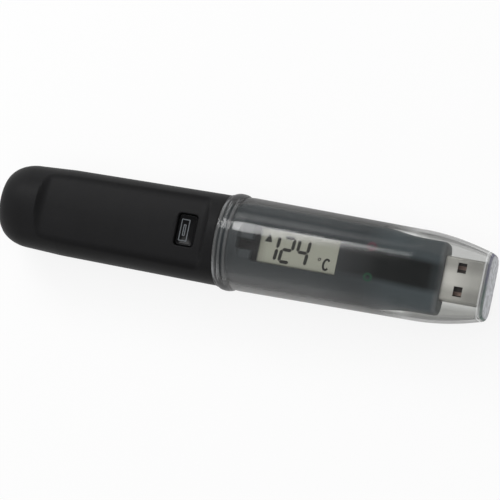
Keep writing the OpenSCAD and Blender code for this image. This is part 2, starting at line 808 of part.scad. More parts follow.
// A chip with legs along two sides
module chip(x, y, l, w, legs) {
    prism_z(x, y, board_top + leg_t / 2, board_top + chip_t, l, w, leg_t);
    for (s = [-1, 1]) {
        for (i = [0:legs - 1]) {
            translate([x + (i - (legs - 1) / 2) * leg_pitch - leg_w / 2,
                    y + s * (w / 2 + leg_reach / 2 - leg_t / 2) - leg_reach / 2 - leg_t / 2, board_top])
                cube([leg_w, leg_reach + leg_t, leg_t]);
        }
    }
}

module controller_chip() {
    color([0.09, 0.09, 0.09])
        chip(-chip_x, 0, chip_w, chip_w, 8);
}

module memory_chip() {
    color([0.09, 0.09, 0.09])
        translate([0, 0, board_z + board_top])
            mirror([0, 0, 1])
                chip(memory_x, 0, memory_l, memory_w, 4);
}

module crystal_can() {
    color([0.72, 0.72, 0.7])
        translate([crystal_x, crystal_l / 2, board_top + crystal_r])
            rotate([90, 0, 0])
                cylinder(r = crystal_r, h = crystal_l);
}

// Places of the small parts, as shares of the free length and of half the board's width
small_shares = [[0.1, 0.75], [0.1, -0.75], [0.3, 0.75], [0.3, -0.75], [0.5, 0.75], [0.5, -0.75],
    [0.7, 0.75], [0.7, -0.75], [0.9, 0.75], [0.9, -0.75]];

module small_parts() {
    x0 = view_x0;
    l = view_x1 - view_x0;
    color([0.45, 0.38, 0.3])
        for (p = small_shares) {
            slab(x0 + p[0] * l, x0 + p[0] * l + small_l, small_w, board_top, board_top + small_t,
                p[1] * board_w / 2 + sign(p[1]) * small_w);
        }
}

// Puts a piece of the display at its sideways offset
module at_display() {
    translate([0, -view_y, 0])
        children();
}

module display_frame() {
    x0 = view_x0 - glass_border;
    x1 = view_x1 + glass_border;
    x_bar = x0 - frame_t - bar_l;
    x_tab = x_bar - tab_l;
    top = glass_z + frame_lip;
    tab_top = glass_z - tab_drop;
    color([0.06, 0.06, 0.065])
        at_display()
            difference() {
                union() {
                    slab(x_bar, x1 + frame_t, frame_w, board_top, top);
                    slab(x_tab, x0, tab_w, tab_top - tab_t, tab_top, -tab_y);
                    slab(x_tab, x_tab + 2 * frame_t, tab_w, board_top, tab_top, -tab_y);
                }
                slab(x0, x1, glass_w, glass_z - glass_t, glass_z);
                slab(view_x0, view_x1, view_w, glass_z - cut, top + cut);
                slab(x0 + frame_t, x1 - frame_t, glass_w - 2 * frame_t, board_top - cut,
                    glass_z - glass_t + cut / 2);
            }
}

module display_glass() {
    color([0.62, 0.63, 0.56])
        at_display()
            slab(view_x0 - glass_border, view_x1 + glass_border, glass_w, glass_z - glass_t, glass_z);
}

// One stroke of a digit, from its middle, along its length
module stroke_bar(l) {
    h = stroke / 2;
    polygon([[-l / 2, 0], [-l / 2 + h, h], [l / 2 - h, h], [l / 2, 0], [l / 2 - h, -h], [-l / 2 + h, -h]]);
}

// A digit of seven strokes; on lists which are drawn, from the top round to the middle
module digit(on) {
    l = digit_w - stroke;
    half = (digit_h - stroke) / 2;
    at = [[0, half, 0], [l / 2, half / 2, 90], [l / 2, -half / 2, 90], [0, -half, 0],
        [-l / 2, -half / 2, 90], [-l / 2, half / 2, 90], [0, 0, 0]];
    for (i = on) {
        translate([at[i][0], at[i][1]])
            rotate(at[i][2])
                stroke_bar((i == 0 || i == 3 || i == 6 ? l : half) - stroke_gap);
    }
}

// A round letter that is open to the right
module open_ring(w, h, line) {
    n = 4 * arc_steps;
    outer = [for (i = [0:n])
        let (a = ring_open + (360 - 2 * ring_open) * i / n)
        [w / 2 * cos(a), h / 2 * sin(a)]];
    inner = [for (p = outer) [p[0] * (w - 2 * line) / w, p[1] * (h - 2 * line) / h]];
    polygon(concat(outer, [for (i = [n:-1:0]) inner[i]]));
}

// Leans a sign and puts its middle at x
module leaning(x) {
    multmatrix([[1, tan(digit_lean), 0, x], [0, 1, 0, -view_w * digit_drop_share],
        [0, 0, 1, 0], [0, 0, 0, 1]])
        children();
}

// The display's signs: an arrow head, three digits and the sign for degrees Celsius
module display_digits() {
    l = view_x1 - view_x0;
    mid = view_x0 + l * first_share;
    arrow = l * arrow_w_share;
    dot_r = digit_w * dot_share;
    color([0.15, 0.14, 0.12])
        translate([0, -view_y, glass_z])
            linear_extrude(height = ink_t) {
                leaning(mid)
                    digit([1, 2]);
                leaning(mid + digit_pitch * second_share)
                    digit([0, 1, 6, 4, 3]);
                leaning(mid + digit_pitch * third_share)
                    digit([5, 6, 1, 2]);
                leaning(view_x0 + l * arrow_x_share)
                    translate([0, view_w * arrow_y_share])
                        polygon([[-arrow, 0], [arrow, 0], [0, view_w * arrow_h_share]]);
                leaning(view_x1 - l * dot_x_share)
                    translate([0, -view_w * dot_y_share])
                        difference() {
                            circle(r = dot_r, $fn = 20);
                            circle(r = dot_r / 2, $fn = 20);
                        }
                leaning(view_x1 - l * sign_x_share)
                    translate([0, -view_w * sign_y_share])
                        open_ring(digit_w * sign_share, digit_h * sign_h_share, digit_w * thin_share);
            }
}

module display_contacts() {
    color([0.2, 0.2, 0.22])
        at_display()
            for (s = [-1, 1]) {
                slab(view_x0 + frame_t, view_x1 - frame_t, zebra_w, board_top, glass_z - glass_t,
                    s * (glass_w / 2 - frame_t - zebra_w / 2));
            }
}

module lamp_holder() {
    top = board_top + holder_h;
    color([0.08, 0.08, 0.08])
        slab(lamp_x - holder_l / 2, lamp_x + holder_l / 2, 2 * lamp_y + 2 * lamp_flange_r, board_top, top,
            plug_shift);
}

// A lamp: a flange, a round body and a domed top
module lamp(y) {
    z = board_top + holder_h;
    translate([lamp_x, y, 0]) {
        translate([0, 0, z])
            cylinder(r = lamp_flange_r, h = lamp_flange_t);
        translate([0, 0, z])
            cylinder(r = lamp_r, h = lamp_top - lamp_r - z);
        translate([0, 0, lamp_top - lamp_r])
            difference() {
                sphere(r = lamp_r - seam);
                translate([-2 * lamp_r, -2 * lamp_r, -4 * lamp_r - seam])
                    cube([4 * lamp_r, 4 * lamp_r, 4 * lamp_r]);
            }
    }
}

module alarm_lamp() {
    color([0.75, 0.1, 0.12, 0.8])
        lamp(plug_shift + lamp_y);
}

module status_lamp() {
    color([0.1, 0.55, 0.25, 0.8])
        lamp(plug_shift - lamp_y);
}

module plug_shell() {
    color([0.72, 0.7, 0.66])
        translate([0, plug_shift, 0])
            difference() {
                prism_x(plug_x0, plug_x, plug_w, plug_h, plug_corner);
                prism_x(plug_x0 + plug_t, plug_x + cut, plug_w - 2 * plug_t, plug_h - 2 * plug_t,
                    plug_corner - plug_t);
                for (s = [-1, 1]) {
                    slab(plug_x - hole_x - hole_l / 2, plug_x - hole_x + hole_l / 2, hole_w, -plug_h, plug_h,
                        s * hole_y);
                }
                slab(plug_x0 - cut, plug_x + cut, plug_seam, -plug_h / 2 - cut, -plug_h / 2 + plug_t / 2);
            }
}

module plug_tongue() {
    inner = plug_h / 2 - plug_t;
    w = plug_w - 2 * plug_corner;
    color([0.1, 0.1, 0.1])
        translate([0, plug_shift, 0])
            union() {
                slab(plug_x0 + plug_t, plug_x - tongue_x, w, -inner, -inner + tongue_t);
                slab(plug_x0 + plug_t, plug_x - plug_len / 2, w, -inner + tongue_t / 2, inner);
            }
}

module plug_contacts() {
    z = -plug_h / 2 + plug_t + tongue_t;
    x = plug_x - tongue_x - tongue_x;
    color([0.85, 0.68, 0.3])
        translate([0, plug_shift, 0])
            for (s = [-1, 1]) {
                slab(x - strip_l, x, strip_w, z, z + strip_t, s * strip_far / 2);
                slab(x - strip_l - strip_w, x - strip_w, strip_w, z, z + strip_t, s * strip_near / 2);
            }
}

module battery_cell() {
    color([0.2, 0.42, 0.35])
        translate([0, 0, cell_z])
            turned([[0, -cell_x - cell_l], [cell_r - cell_round, -cell_x - cell_l],
                [cell_r, -cell_x - cell_l + cell_round], [cell_r, -cell_x - cell_round],
                [cell_r - cell_round, -cell_x], [nub_r, -cell_x], [nub_r, -cell_x + nub_l],
                [0, -cell_x + nub_l]]);
}

module battery_carrier() {
    x_plate = -cell_x + nub_l + contact_t;
    x_spring = -cell_x - cell_l - 2 * wire_r - contact_t;
    color([0.14, 0.14, 0.15])
        intersection() {
            union() {
                slab(x_spring - carrier_wall, -collar_len - button_gap, carrier_w, -floor_z,
                    -floor_z + carrier_t);
                slab(x_plate, x_plate + carrier_wall, carrier_wall_w, -floor_z + carrier_t / 2, carrier_top);
                slab(x_spring - carrier_wall, x_spring, carrier_wall_w, -floor_z + carrier_t / 2,
                    carrier_top);
                for (s = [-1, 1]) {
                    slab(-board_x0 + plug_gap, -board_x0 + post_l, post_w, -floor_z + carrier_t / 2, board_z,
                        s * post_y);
                    slab(-collar_len - button_gap - post_l, -collar_len - button_gap, post_w,
                        -floor_z + carrier_t / 2, board_z, s * post_y);
                }
            }
            // trimmed to the round room inside the housing
            turned([[0, 0], [bore_r - carrier_gap, 0], [waist_r - wall - carrier_gap, -waist_x],
                [rear_r - wall - carrier_gap, end_len - body_len], [0, end_len - body_len]]);
        }
}

// A flat spiral of wire round X, sunk a little into the plate behind it
module flat_spiral(x, r_out, r_in, turns) {
    n = 4 * arc_steps * turns;
    foot = -wire_r - contact_t / 2;
    section = [[-wire_r, foot], [wire_r, foot], [wire_r, wire_r / 2], [wire_r / 2, wire_r],
        [-wire_r / 2, wire_r], [-wire_r, wire_r / 2]];
    m = len(section);
    points = [for (i = [0:n]) let (a = 360 * turns * i / n) let (r = r_out + (r_in - r_out) * i / n)
        for (p = section) [x + p[1], (r + p[0]) * cos(a), (r + p[0]) * sin(a)]];
    sides = [for (i = [0:n - 1]) for (j = [0:m - 1]) let (k = (j + 1) % m) for (f = [
        [i * m + j, i * m + k, (i + 1) * m + k],
        [i * m + j, (i + 1) * m + k, (i + 1) * m + j]]) f];
    ends = [[for (j = [0:m - 1]) m - 1 - j], [for (j = [0:m - 1]) n * m + j]];
    polyhedron(points = points, faces = concat(sides, ends), convexity = 6);
}

module battery_spring() {
    x = -cell_x - cell_l - 2 * wire_r;
    color([0.75, 0.74, 0.72])
        translate([0, 0, cell_z])
            union() {
                slab(x - contact_t, x, contact_w, -contact_h / 2, contact_h / 2);
                flat_spiral(x + wire_r, contact_w / 2 - wire_r, spring_in_r, spring_turns);
            }
}

module battery_plate() {
    x = -cell_x + nub_l;
    color([0.75, 0.74, 0.72])
        slab(x, x + contact_t, contact_w, cell_z - contact_h / 2, cell_z + contact_h / 2);
}

module socket_body() {
    x0 = -socket_x;
    x1 = -socket_end;
    color([0.16, 0.16, 0.17])
        difference() {
            union() {
                prism_x(x0, x1, socket_w, socket_h, socket_corner);
                prism_x(end_len - body_len, end_len - body_len + socket_flange_l,
                    socket_w + 2 * socket_flange, socket_h + 2 * socket_flange, socket_corner);
            }
            slab(x0 - cut, x0 + slot_l, slot_wide, -slot_h / 2, slot_h / 2, -slot_y);
            slab(x0 - cut, x0 + slot_l, slot_narrow, -slot_h / 2, slot_h / 2, slot_y);
            for (s = [-1, 1]) {
                slab(x0 + slot_l - cut, x1 + cut, slot_narrow - 2 * blade_t, -slot_h / 2,
                    -slot_h / 2 + blade_t, s * slot_y);
            }
        }
}

// A contact blade that lies on the floor of its slot
module blade(w, y) {
    x0 = -socket_x + (socket_l - slot_l);
    slab(x0, -socket_x + slot_l, w - 2 * blade_t, -slot_h / 2, -slot_h / 2 + blade_t, y);
    slab(x0 + socket_l / 2, x0 + blade_l, slot_narrow - 2 * blade_t, -slot_h / 2, -slot_h / 2 + blade_t, y);
}

module socket_blade_wide() {
    color([0.72, 0.62, 0.4])
        blade(slot_wide, -slot_y);
}

module socket_blade_narrow() {
    color([0.78, 0.76, 0.7])
        blade(slot_narrow, slot_y);
}

rear_housing();
button_key();
button_mark();
switch_body();
switch_plunger();
front_housing();
housing_seal();
cap_seal();
cap();
circuit_board();
controller_chip();
memory_chip();
crystal_can();
small_parts();
display_frame();
display_glass();
display_digits();
display_contacts();
lamp_holder();
alarm_lamp();
status_lamp();
plug_shell();
plug_tongue();
plug_contacts();
battery_cell();
battery_carrier();
battery_spring();
battery_plate();
socket_body();
socket_blade_wide();
socket_blade_narrow();
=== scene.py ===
# %% [markdown]
# A stick-shaped temperature logger: a near-black rear housing, a smoked front housing with a small
# display, and a clear cap over the front housing and the metal plug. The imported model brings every
# piece at its true size. This script adds soft edges, smooth skins, finishes and light.

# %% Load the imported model
import math
import bmesh
import bpy
import numpy as np
from mathutils import Matrix, Vector


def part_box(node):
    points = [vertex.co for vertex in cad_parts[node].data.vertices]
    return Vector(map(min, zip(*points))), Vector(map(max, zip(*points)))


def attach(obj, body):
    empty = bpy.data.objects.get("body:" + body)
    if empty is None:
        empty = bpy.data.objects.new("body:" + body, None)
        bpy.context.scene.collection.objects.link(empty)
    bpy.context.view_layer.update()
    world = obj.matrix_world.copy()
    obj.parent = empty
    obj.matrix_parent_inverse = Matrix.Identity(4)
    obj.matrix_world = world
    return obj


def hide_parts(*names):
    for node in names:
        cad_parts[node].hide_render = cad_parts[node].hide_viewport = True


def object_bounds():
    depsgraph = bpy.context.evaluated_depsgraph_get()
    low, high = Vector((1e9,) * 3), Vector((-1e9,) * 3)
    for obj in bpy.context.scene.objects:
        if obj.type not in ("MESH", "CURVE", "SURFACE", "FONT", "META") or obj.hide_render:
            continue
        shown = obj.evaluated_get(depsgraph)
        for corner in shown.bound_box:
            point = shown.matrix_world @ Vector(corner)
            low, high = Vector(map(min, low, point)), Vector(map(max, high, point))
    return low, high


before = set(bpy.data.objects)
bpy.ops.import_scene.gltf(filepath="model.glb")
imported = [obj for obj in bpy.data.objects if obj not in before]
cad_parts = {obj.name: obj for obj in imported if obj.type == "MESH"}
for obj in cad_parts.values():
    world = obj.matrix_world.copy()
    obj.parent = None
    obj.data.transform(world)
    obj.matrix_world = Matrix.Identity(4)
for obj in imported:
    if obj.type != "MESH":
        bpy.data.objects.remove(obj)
cad_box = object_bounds()
MM = 0.001
FLOOR_Z = cad_box[0][2]
print("nodes", len(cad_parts), "lowest point in mm", round(FLOOR_Z / MM, 2))


# %% [markdown]
# Lengths below are in millimetres and become metres when a mesh is made. One helper gives a packed
# piece's two corners, another puts a new thing into the scene.

# %% Sizes that the pieces share
def corners(node):
    """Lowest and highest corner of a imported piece, in millimetres."""
    low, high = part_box(node)
    return [v / MM for v in low], [v / MM for v in high]


def placed(name, data):
    """A new object that holds the data, in the scene."""
    obj = bpy.data.objects.new(name, data)
    bpy.context.scene.collection.objects.link(obj)
    return obj


rear_low, rear_high = corners("rear_housing")
plug_low, plug_high = corners("plug_shell")
key_low, key_high = corners("button_key")
glass_low, glass_high = corners("display_glass")
board_low, board_high = corners("circuit_board")
cap_high = corners("cap")[1]

REAR_LEN = -rear_low[0]
FRONT_LEN = corners("front_housing")[1][0]
CAP_LEN = cap_high[0]
BEAD_R = cap_high[1]
plug_y = (plug_low[1] + plug_high[1]) / 2
print("rear", round(REAR_LEN, 2), "front", round(FRONT_LEN, 2), "cap", round(CAP_LEN, 2))

# %% [markdown]
# The photograph was taken from above with a long lens. Two angles give the way the camera looks, a
# third turns the picture, and the picture point of one known place and a scale do the rest.

# %% The camera
IMAGE_PX = 500
SENSOR_MM = 36
CAMERA_FAR = 1200
CLIP_END = 20000
SCALE_PX = 3.727566
YAW = 0.278966
LEAN = 0.111775
ROLL = 0.176138
KNOWN_X = 2.95
KNOWN_PX = (236.65, 242.70)

back = Vector((math.sin(YAW), -math.sin(LEAN) * math.cos(YAW), math.cos(LEAN) * math.cos(YAW)))
level = (Vector((1, 0, 0)) - back * back.x).normalized()
upright = back.cross(level)
right = math.cos(ROLL) * level + math.sin(ROLL) * upright
up = math.cos(ROLL) * upright - math.sin(ROLL) * level
aside = [(p - IMAGE_PX / 2) / SCALE_PX for p in KNOWN_PX]
eye = Vector((KNOWN_X, 0, 0)) + back * CAMERA_FAR - right * aside[0] + up * aside[1]

camera_data = bpy.data.cameras.new("camera")
camera_data.sensor_width = SENSOR_MM
camera_data.lens = SCALE_PX * CAMERA_FAR * SENSOR_MM / IMAGE_PX
camera_data.clip_end = CLIP_END * MM
camera = placed("camera", camera_data)
turn = Matrix((right, up, back)).transposed().to_4x4()
camera.matrix_world = Matrix.Translation(eye * MM) @ turn
bpy.context.scene.camera = camera
print("camera at", [round(v * MM, 3) for v in eye], "lens", round(camera_data.lens, 1))

# %% [markdown]
# Sums of nodes are easier to read as Python than as boxes with strings. A Wire wraps one output of a
# node, and plus, minus, times, divide and power on it add Math nodes. Its step is a ramp from nought to
# one, and masks are made of steps. A Sheet wraps a node tree, and its one node-making method takes the
# settings first and then what goes in.

# %% Sums on wires
def socket_at(sockets, key):
    """The socket with that identifier, name or number."""
    for s in sockets:
        if s.identifier == key:
            return s
    return sockets[key]


class Wire:
    """One output of a node, to reckon with."""

    def __init__(self, sheet, socket):
        self.sheet = sheet
        self.socket = socket

    def sum(self, operation, *terms, clamp=False):
        settings = {"operation": operation, "use_clamp": clamp}
        return self.sheet.node("ShaderNodeMath", settings, dict(enumerate(terms)))

    def __add__(self, other):
        return self.sum("ADD", self, other)

    def __radd__(self, other):
        return self.sum("ADD", other, self)

    def __sub__(self, other):
        return self.sum("SUBTRACT", self, other)

    def __rsub__(self, other):
        return self.sum("SUBTRACT", other, self)

    def __mul__(self, other):
        return self.sum("MULTIPLY", self, other)

    def __rmul__(self, other):
        return self.sum("MULTIPLY", other, self)

    def __truediv__(self, other):
        return self.sum("DIVIDE", self, other)

    def __rtruediv__(self, other):
        return self.sum("DIVIDE", other, self)

    def __pow__(self, other):
        return self.sum("POWER", self, other)

    def __abs__(self):
        return self.of("ABSOLUTE")

    def of(self, operation):
        return self.sum(operation, self)

    def most(self, other):
        return self.sum("MAXIMUM", self, other)

    def step(self, low, high):
        """Nought below low, one above high, and a ramp from one to the other."""
        return self.sum("DIVIDE", self - low, high - low, clamp=True)

    def between(self, rise, fall):
        """A step up and a step down again."""
        return self.step(*rise) * (1 - self.step(*fall))

    def near(self, middle, inner, outer):
        """One up to inner away from the middle, nought from outer on."""
        return 1 - abs(self - middle).step(inner, outer)


class Sheet:
    """A node tree that is written as Python."""

    def __init__(self, tree):
        self.tree = tree

    def node(self, kind, settings=None, inputs=None, out=0):
        """Makes a node and returns one of its outputs."""
        made = self.tree.nodes.new(kind)
        for name, value in (settings or {}).items():
            setattr(made, name, value)
        for key, value in (inputs or {}).items():
            socket = socket_at(made.inputs, key)
            if isinstance(value, Wire):
                self.tree.links.new(value.socket, socket)
            elif isinstance(value, (tuple, list)) and len(value) == 3 and len(socket.default_value) == 4:
                socket.default_value = (*value, 1)
            else:
                socket.default_value = value
        return Wire(self, socket_at(made.outputs, out)) if len(made.outputs) else made

    def mix(self, share, first, second):
        """A colour between two colours."""
        return self.node("ShaderNodeMix", {"data_type": "RGBA"},
            {"Factor_Float": share, "A_Color": first, "B_Color": second}, out="Result_Color")

    def laid(self, shade, zones):
        """A colour with other colours laid over it, each by its share."""
        for share, colour in zones:
            shade = self.mix(share, shade, colour)
        return shade

    def split(self, vector):
        """The three parts of a vector."""
        parts = self.node("ShaderNodeSeparateXYZ", None, {0: vector}).socket.node
        return [Wire(self, o) for o in parts.outputs]


print("wires ready")

# %% [markdown]
# A Finish is the sheet of a fresh material, with the patterns that plastics and metals need. Noise is
# read in Object coordinates, which are metres here, so a pattern's grain is written as a size in
# millimetres.

# %% Patterns for every finish
SOFT = 2.0
BRUSH_STRETCH = 0.06
BRUSH_DETAIL = 4.0
BRUSH_SHARP = 0.7


class Finish(Sheet):
    """A material's sheet, with the patterns that the finishes share."""

    def __init__(self, name):
        self.material = bpy.data.materials.new(name)
        self.material.use_nodes = True
        super().__init__(self.material.node_tree)
        self.tree.nodes.clear()
        self.place = self.node("ShaderNodeTexCoord", out="Object")

    def axes(self):
        """The place along X, Y and Z in millimetres."""
        return [part * (1 / MM) for part in self.split(self.place)]

    def noise(self, grain, detail=3.0, rough=0.55, place=None):
        """Noise from nought to one whose blotches are about grain millimetres wide."""
        return self.node("ShaderNodeTexNoise", None, {"Vector": place or self.place,
            "Scale": 1 / (grain * MM), "Detail": detail, "Roughness": rough})

    def brushed(self, width):
        """Noise drawn out along the stick, as brushing leaves it."""
        along = self.node("ShaderNodeMapping", None, {"Vector": self.place, "Scale": (BRUSH_STRETCH, 1, 1)})
        return self.noise(width, BRUSH_DETAIL, BRUSH_SHARP, along)

    def bump(self, height, depth):
        """A normal that is disturbed by height, depth millimetres deep."""
        return self.node("ShaderNodeBump", None, {"Height": height, "Distance": depth * MM, "Strength": 1.0})

    def plastic(self, inputs):
        """A Principled shader."""
        return self.node("ShaderNodeBsdfPrincipled", None, inputs)

    def blend(self, share, first, second):
        """One shader laid over another by a share."""
        return self.node("ShaderNodeMixShader", None, {0: share, 1: first, 2: second})

    def facing(self):
        """Nought where the surface is seen straight on, one at a graze."""
        return self.node("ShaderNodeLayerWeight", None, {"Blend": 0.5}, out="Facing")

    def gloss(self, rough):
        """A plain mirror layer."""
        return self.node("ShaderNodeBsdfGlossy", None, {"Roughness": rough, "Color": (0.9, 0.9, 0.9)})

    def done(self, shader):
        """Ends the sheet in the material's output."""
        self.node("ShaderNodeOutputMaterial", None, {"Surface": shader})
        return self.material


print("patterns ready")

# %% [markdown]
# Two finishes serve most pieces. A moulded plastic has the fine pits of its etched mould, and its
# colour drifts a little. A drawn or plated metal has brush lines along the stick and faint stains.

# %% The two common finishes
BROAD_GRAINS = 60
FINE_SHARE = 0.4
ROUGH_DRIFT = 0.12
STAIN_GRAIN = 2.5
STAIN_DARK = 0.86
STAIN_ROUGH = 0.06
LINE_ROUGH = 0.16


def grained(name, colour, rough, grain=0.16, depth=0.012, speck=0.25, spec=0.35, over=None):
    """A moulded plastic or rubber with an etched texture and a little colour drift."""
    f = Finish(name)
    fine = f.noise(grain)
    broad = f.noise(grain * BROAD_GRAINS, SOFT)
    dim = [c * (1 - speck) for c in colour]
    pale = [c * (1 + speck) for c in colour]
    shade = f.mix(fine * FINE_SHARE + broad * (1 - FINE_SHARE), dim, pale)
    if over:
        shade = over(f, shade)
    return f.done(f.plastic({"Base Color": shade, "Roughness": rough + ROUGH_DRIFT * (broad - 0.5),
        "Specular IOR Level": spec, "Normal": f.bump(fine, depth)}))


def metal(name, colour, rough, brushed=0.12, depth=0.004, metallic=1.0):
    """A drawn or plated metal, brushed along the stick."""
    f = Finish(name)
    lines = f.brushed(brushed)
    stain = f.noise(STAIN_GRAIN, SOFT)
    shade = f.mix(stain, [c * STAIN_DARK for c in colour], colour)
    roughness = rough + LINE_ROUGH * (lines - 0.5) + STAIN_ROUGH * stain
    return f.done(f.plastic({"Base Color": shade, "Metallic": metallic, "Roughness": roughness,
        "Normal": f.bump(lines, depth)}))


print("finishes ready")

# %% [markdown]
# Moulded skins are tables of rings. Each ring is one section of the piece, and neighbours are joined by
# quads. A first or last ring of one point closes the skin, so that it has a volume, whose sign tells
# whether the faces look outwards.

# %% Skins from rings
def mesh_of(name, points, edges=(), faces=()):
    """A mesh from points in millimetres."""
    mesh = bpy.data.meshes.new(name)
    mesh.from_pydata([tuple(c * MM for c in p) for p in points], edges, faces)
    return mesh


def new_piece(name, points, faces, finish, angle=30):
    """A mesh object from points in millimetres, smooth, with creases past an angle in degrees."""
    mesh = mesh_of(name, points, faces=faces)
    mesh.materials.append(finish)
    face_out(mesh)
    smooth(mesh, angle)
    return placed(name, mesh)


def face_out(mesh, merge=0.0005):
    """Merges doubles and makes the faces look outwards. Returns the volume in cubic millimetres."""
    bm = bmesh.new()
    bm.from_mesh(mesh)
    bmesh.ops.remove_doubles(bm, verts=bm.verts, dist=merge * MM)
    bmesh.ops.recalc_face_normals(bm, faces=bm.faces)
    volume = bm.calc_volume(signed=True)
    if volume < 0:
        bmesh.ops.reverse_faces(bm, faces=bm.faces)
    bm.to_mesh(mesh)
    bm.free()
    return abs(volume) / MM ** 3


def smooth(mesh, angle):
    """Smooth shading, with a crease where two faces meet at more than the angle in degrees."""
    mesh.shade_smooth()
    mesh.set_sharp_from_angle(angle=math.radians(angle))


def skin(rings):
    """Points and faces of a closed skin from rings of equal length; a ring of one point is a pole."""
    starts = np.cumsum([0] + [len(ring) for ring in rings]).tolist()
    faces = []
    for i in range(len(rings) - 1):
        a = starts[i]
        b = starts[i + 1]
        n = max(len(rings[i]), len(rings[i + 1]))
        for j in range(n):
            k = (j + 1) % n
            if len(rings[i]) == 1:
                faces.append((a, b + j, b + k))
            elif len(rings[i + 1]) == 1:
                faces.append((a + j, b, a + k))
            else:
                faces.append((a + j, b + j, b + k, a + k))
    return [p for ring in rings for p in ring], faces


print("skins ready")

# %% [markdown]
# Three more helpers.

# %% Dress, settle and cut
def dress(obj, body, nodes=()):
    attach(obj, body)
    if nodes:
        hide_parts(*nodes)
    print(obj.name, "faces", len(obj.data.polygons))


def settled(obj):
    """The plain mesh that an object's modifiers make."""
    bpy.context.view_layer.update()
    view = obj.evaluated_get(bpy.context.evaluated_depsgraph_get())
    return bpy.data.meshes.new_from_object(view)


def cut_away(obj, cutter):
    """Takes the cutter's shape out of the piece for good."""
    tool = obj.modifiers.new("cut", "BOOLEAN")
    tool.operation = "DIFFERENCE"
    tool.solver = "EXACT"
    tool.object = cutter
    cut = settled(obj)
    obj.modifiers.remove(tool)
    old = obj.data
    obj.data = cut
    bpy.data.meshes.remove(old)
    bpy.data.objects.remove(cutter)


print("helpers ready")

# %% [markdown]
# The rear housing is moulded in near-black plastic. Seen from the axis, its surface is the least of
# three: a turned stick with a rounded end, a gently crowned land with a ramp at each end, and a flat
# underside. A rounded least of them gives the soft edges that a mould has, with no bevels to repair.
# The land stays bare here.

# %% Shape rules of the rear housing
BAND_LEN = 2.5
BODY_R = rear_high[1]
WAIST_X = 45
WAIST_R = 11.75
END_LEN = 8.5
END_R = 11.25
END_FLAT_R = 5.6
LAND_Z = 9.2
LAND_R = 30
LAND_FRONT = 5.4
LAND_REAR = 49
RAMP_LEN = 3.6
RAMP_RISE = 3.85
RAMP_SHARES = [(0, 0), (0.16, 0.02), (0.32, 0.11), (0.46, 0.26), (0.58, 0.45), (0.7, 0.68), (1, 1.3)]
RAMP_BEYOND = 4
BELLY_Z = 9.6
BELLY_X = 9
EDGE_SOFT = 0.7
SIDE_COS = 0.2
NO_CUT = 4 * BODY_R


def rounded_least(a, b, soft):
    """The lesser of two surfaces, with the edge between them rounded."""
    share = np.clip(0.5 + 0.5 * (b - a) / soft, 0, 1)
    return b + (a - b) * share - soft * share * (1 - share)


def land_radius(x, turn):
    """Distance from the axis to the crowned land, with its ramps."""
    past = max(x + LAND_FRONT, -LAND_REAR - x, 0) / RAMP_LEN
    shares, rises = zip(*RAMP_SHARES)
    rise = (np.interp(past, shares, rises) + max(past - 1, 0) * RAMP_BEYOND) * RAMP_RISE
    drop = LAND_R - LAND_Z
    reach = (LAND_R + rise) ** 2 - (drop * np.sin(turn)) ** 2
    return np.where(reach > 0, np.sqrt(np.maximum(reach, 0)) - drop * np.cos(turn), NO_CUT)


def rear_section(x, radius, turn):
    """Outer distance from the axis at a place along the stick."""
    up = np.cos(turn)
    r = np.full_like(turn, radius)
    r = np.where(up > -SIDE_COS, rounded_least(r, land_radius(x, turn), EDGE_SOFT), r)
    belly = BELLY_Z + max(x + BELLY_X, 0)
    flat = np.where(-up > SIDE_COS, belly / np.maximum(-up, SIDE_COS), NO_CUT)
    return rounded_least(r, flat, EDGE_SOFT)


print("land crown", LAND_Z, "ramp", RAMP_LEN)

# %% [markdown]
# The rings follow these rules. The inside is round, with a flat ceiling under the land and a flat floor
# for the battery carrier. The rings run from the inner end forwards, over the mouth's rounded edge, and
# back along the outside.

# %% The rear housing's skin
COLUMNS = 240
STEP = 0.4
END_RINGS = 30
END_SHARES = (0.75, 0.5, 0.25)
WALL = 1.65
CEILING_Z = 7
INNER_FLOOR_Z = 8.4
INNER_RINGS = 24
BORE_R = 10.45
BORE_LEN = 3.2
MOUTH_CHAMFER = 0.15
MOUTH_ROUND = 0.25
MOUTH_MID = 0.07
NEAR_NOUGHT = 0.01

around = np.arange(COLUMNS) * 2 * math.pi / COLUMNS
end_x = REAR_LEN - END_LEN
inner_end = end_x + (END_LEN - WALL) / 2


def ring_at(x, r):
    """A ring of points at x, from one distance from the axis or from one for every column."""
    r = np.broadcast_to(r, around.shape)
    return [(x, a, b) for a, b in zip(r * np.sin(around), r * np.cos(around))]


def inner_section(radius):
    """Inner distance from the axis."""
    up = np.maximum(np.cos(around), NEAR_NOUGHT)
    down = np.maximum(-np.cos(around), NEAR_NOUGHT)
    return np.minimum(radius, np.minimum(CEILING_Z / up, INNER_FLOOR_Z / down))


rings = [[(-inner_end, 0, 0)]]
for x in -np.linspace(inner_end, BORE_LEN, INNER_RINGS):
    radii = [BORE_R, WAIST_R - WALL, END_R - WALL, END_FLAT_R + WALL]
    rings.append(ring_at(x, inner_section(np.interp(-x, [BORE_LEN, WAIST_X, end_x, inner_end], radii))))
mouth = ((-BORE_LEN, BORE_R), (-MOUTH_CHAMFER, BORE_R), (0, BORE_R + MOUTH_CHAMFER),
    (0, BODY_R - MOUTH_ROUND), (-MOUTH_MID, BODY_R - MOUTH_MID))
rings += [ring_at(x, r) for x, r in mouth]
for x in -np.append(np.arange(MOUTH_ROUND, end_x, STEP), end_x):
    radius = np.interp(-x, [0, BAND_LEN, WAIST_X, end_x], [BODY_R, BODY_R, WAIST_R, END_R])
    rings.append(ring_at(x, rear_section(x, radius, around)))
for a in np.linspace(0, math.pi / 2, END_RINGS)[1:]:
    radius = END_FLAT_R + (END_R - END_FLAT_R) * math.cos(a)
    x = -end_x - END_LEN * math.sin(a)
    rings.append(ring_at(x, rear_section(x, radius, around)))
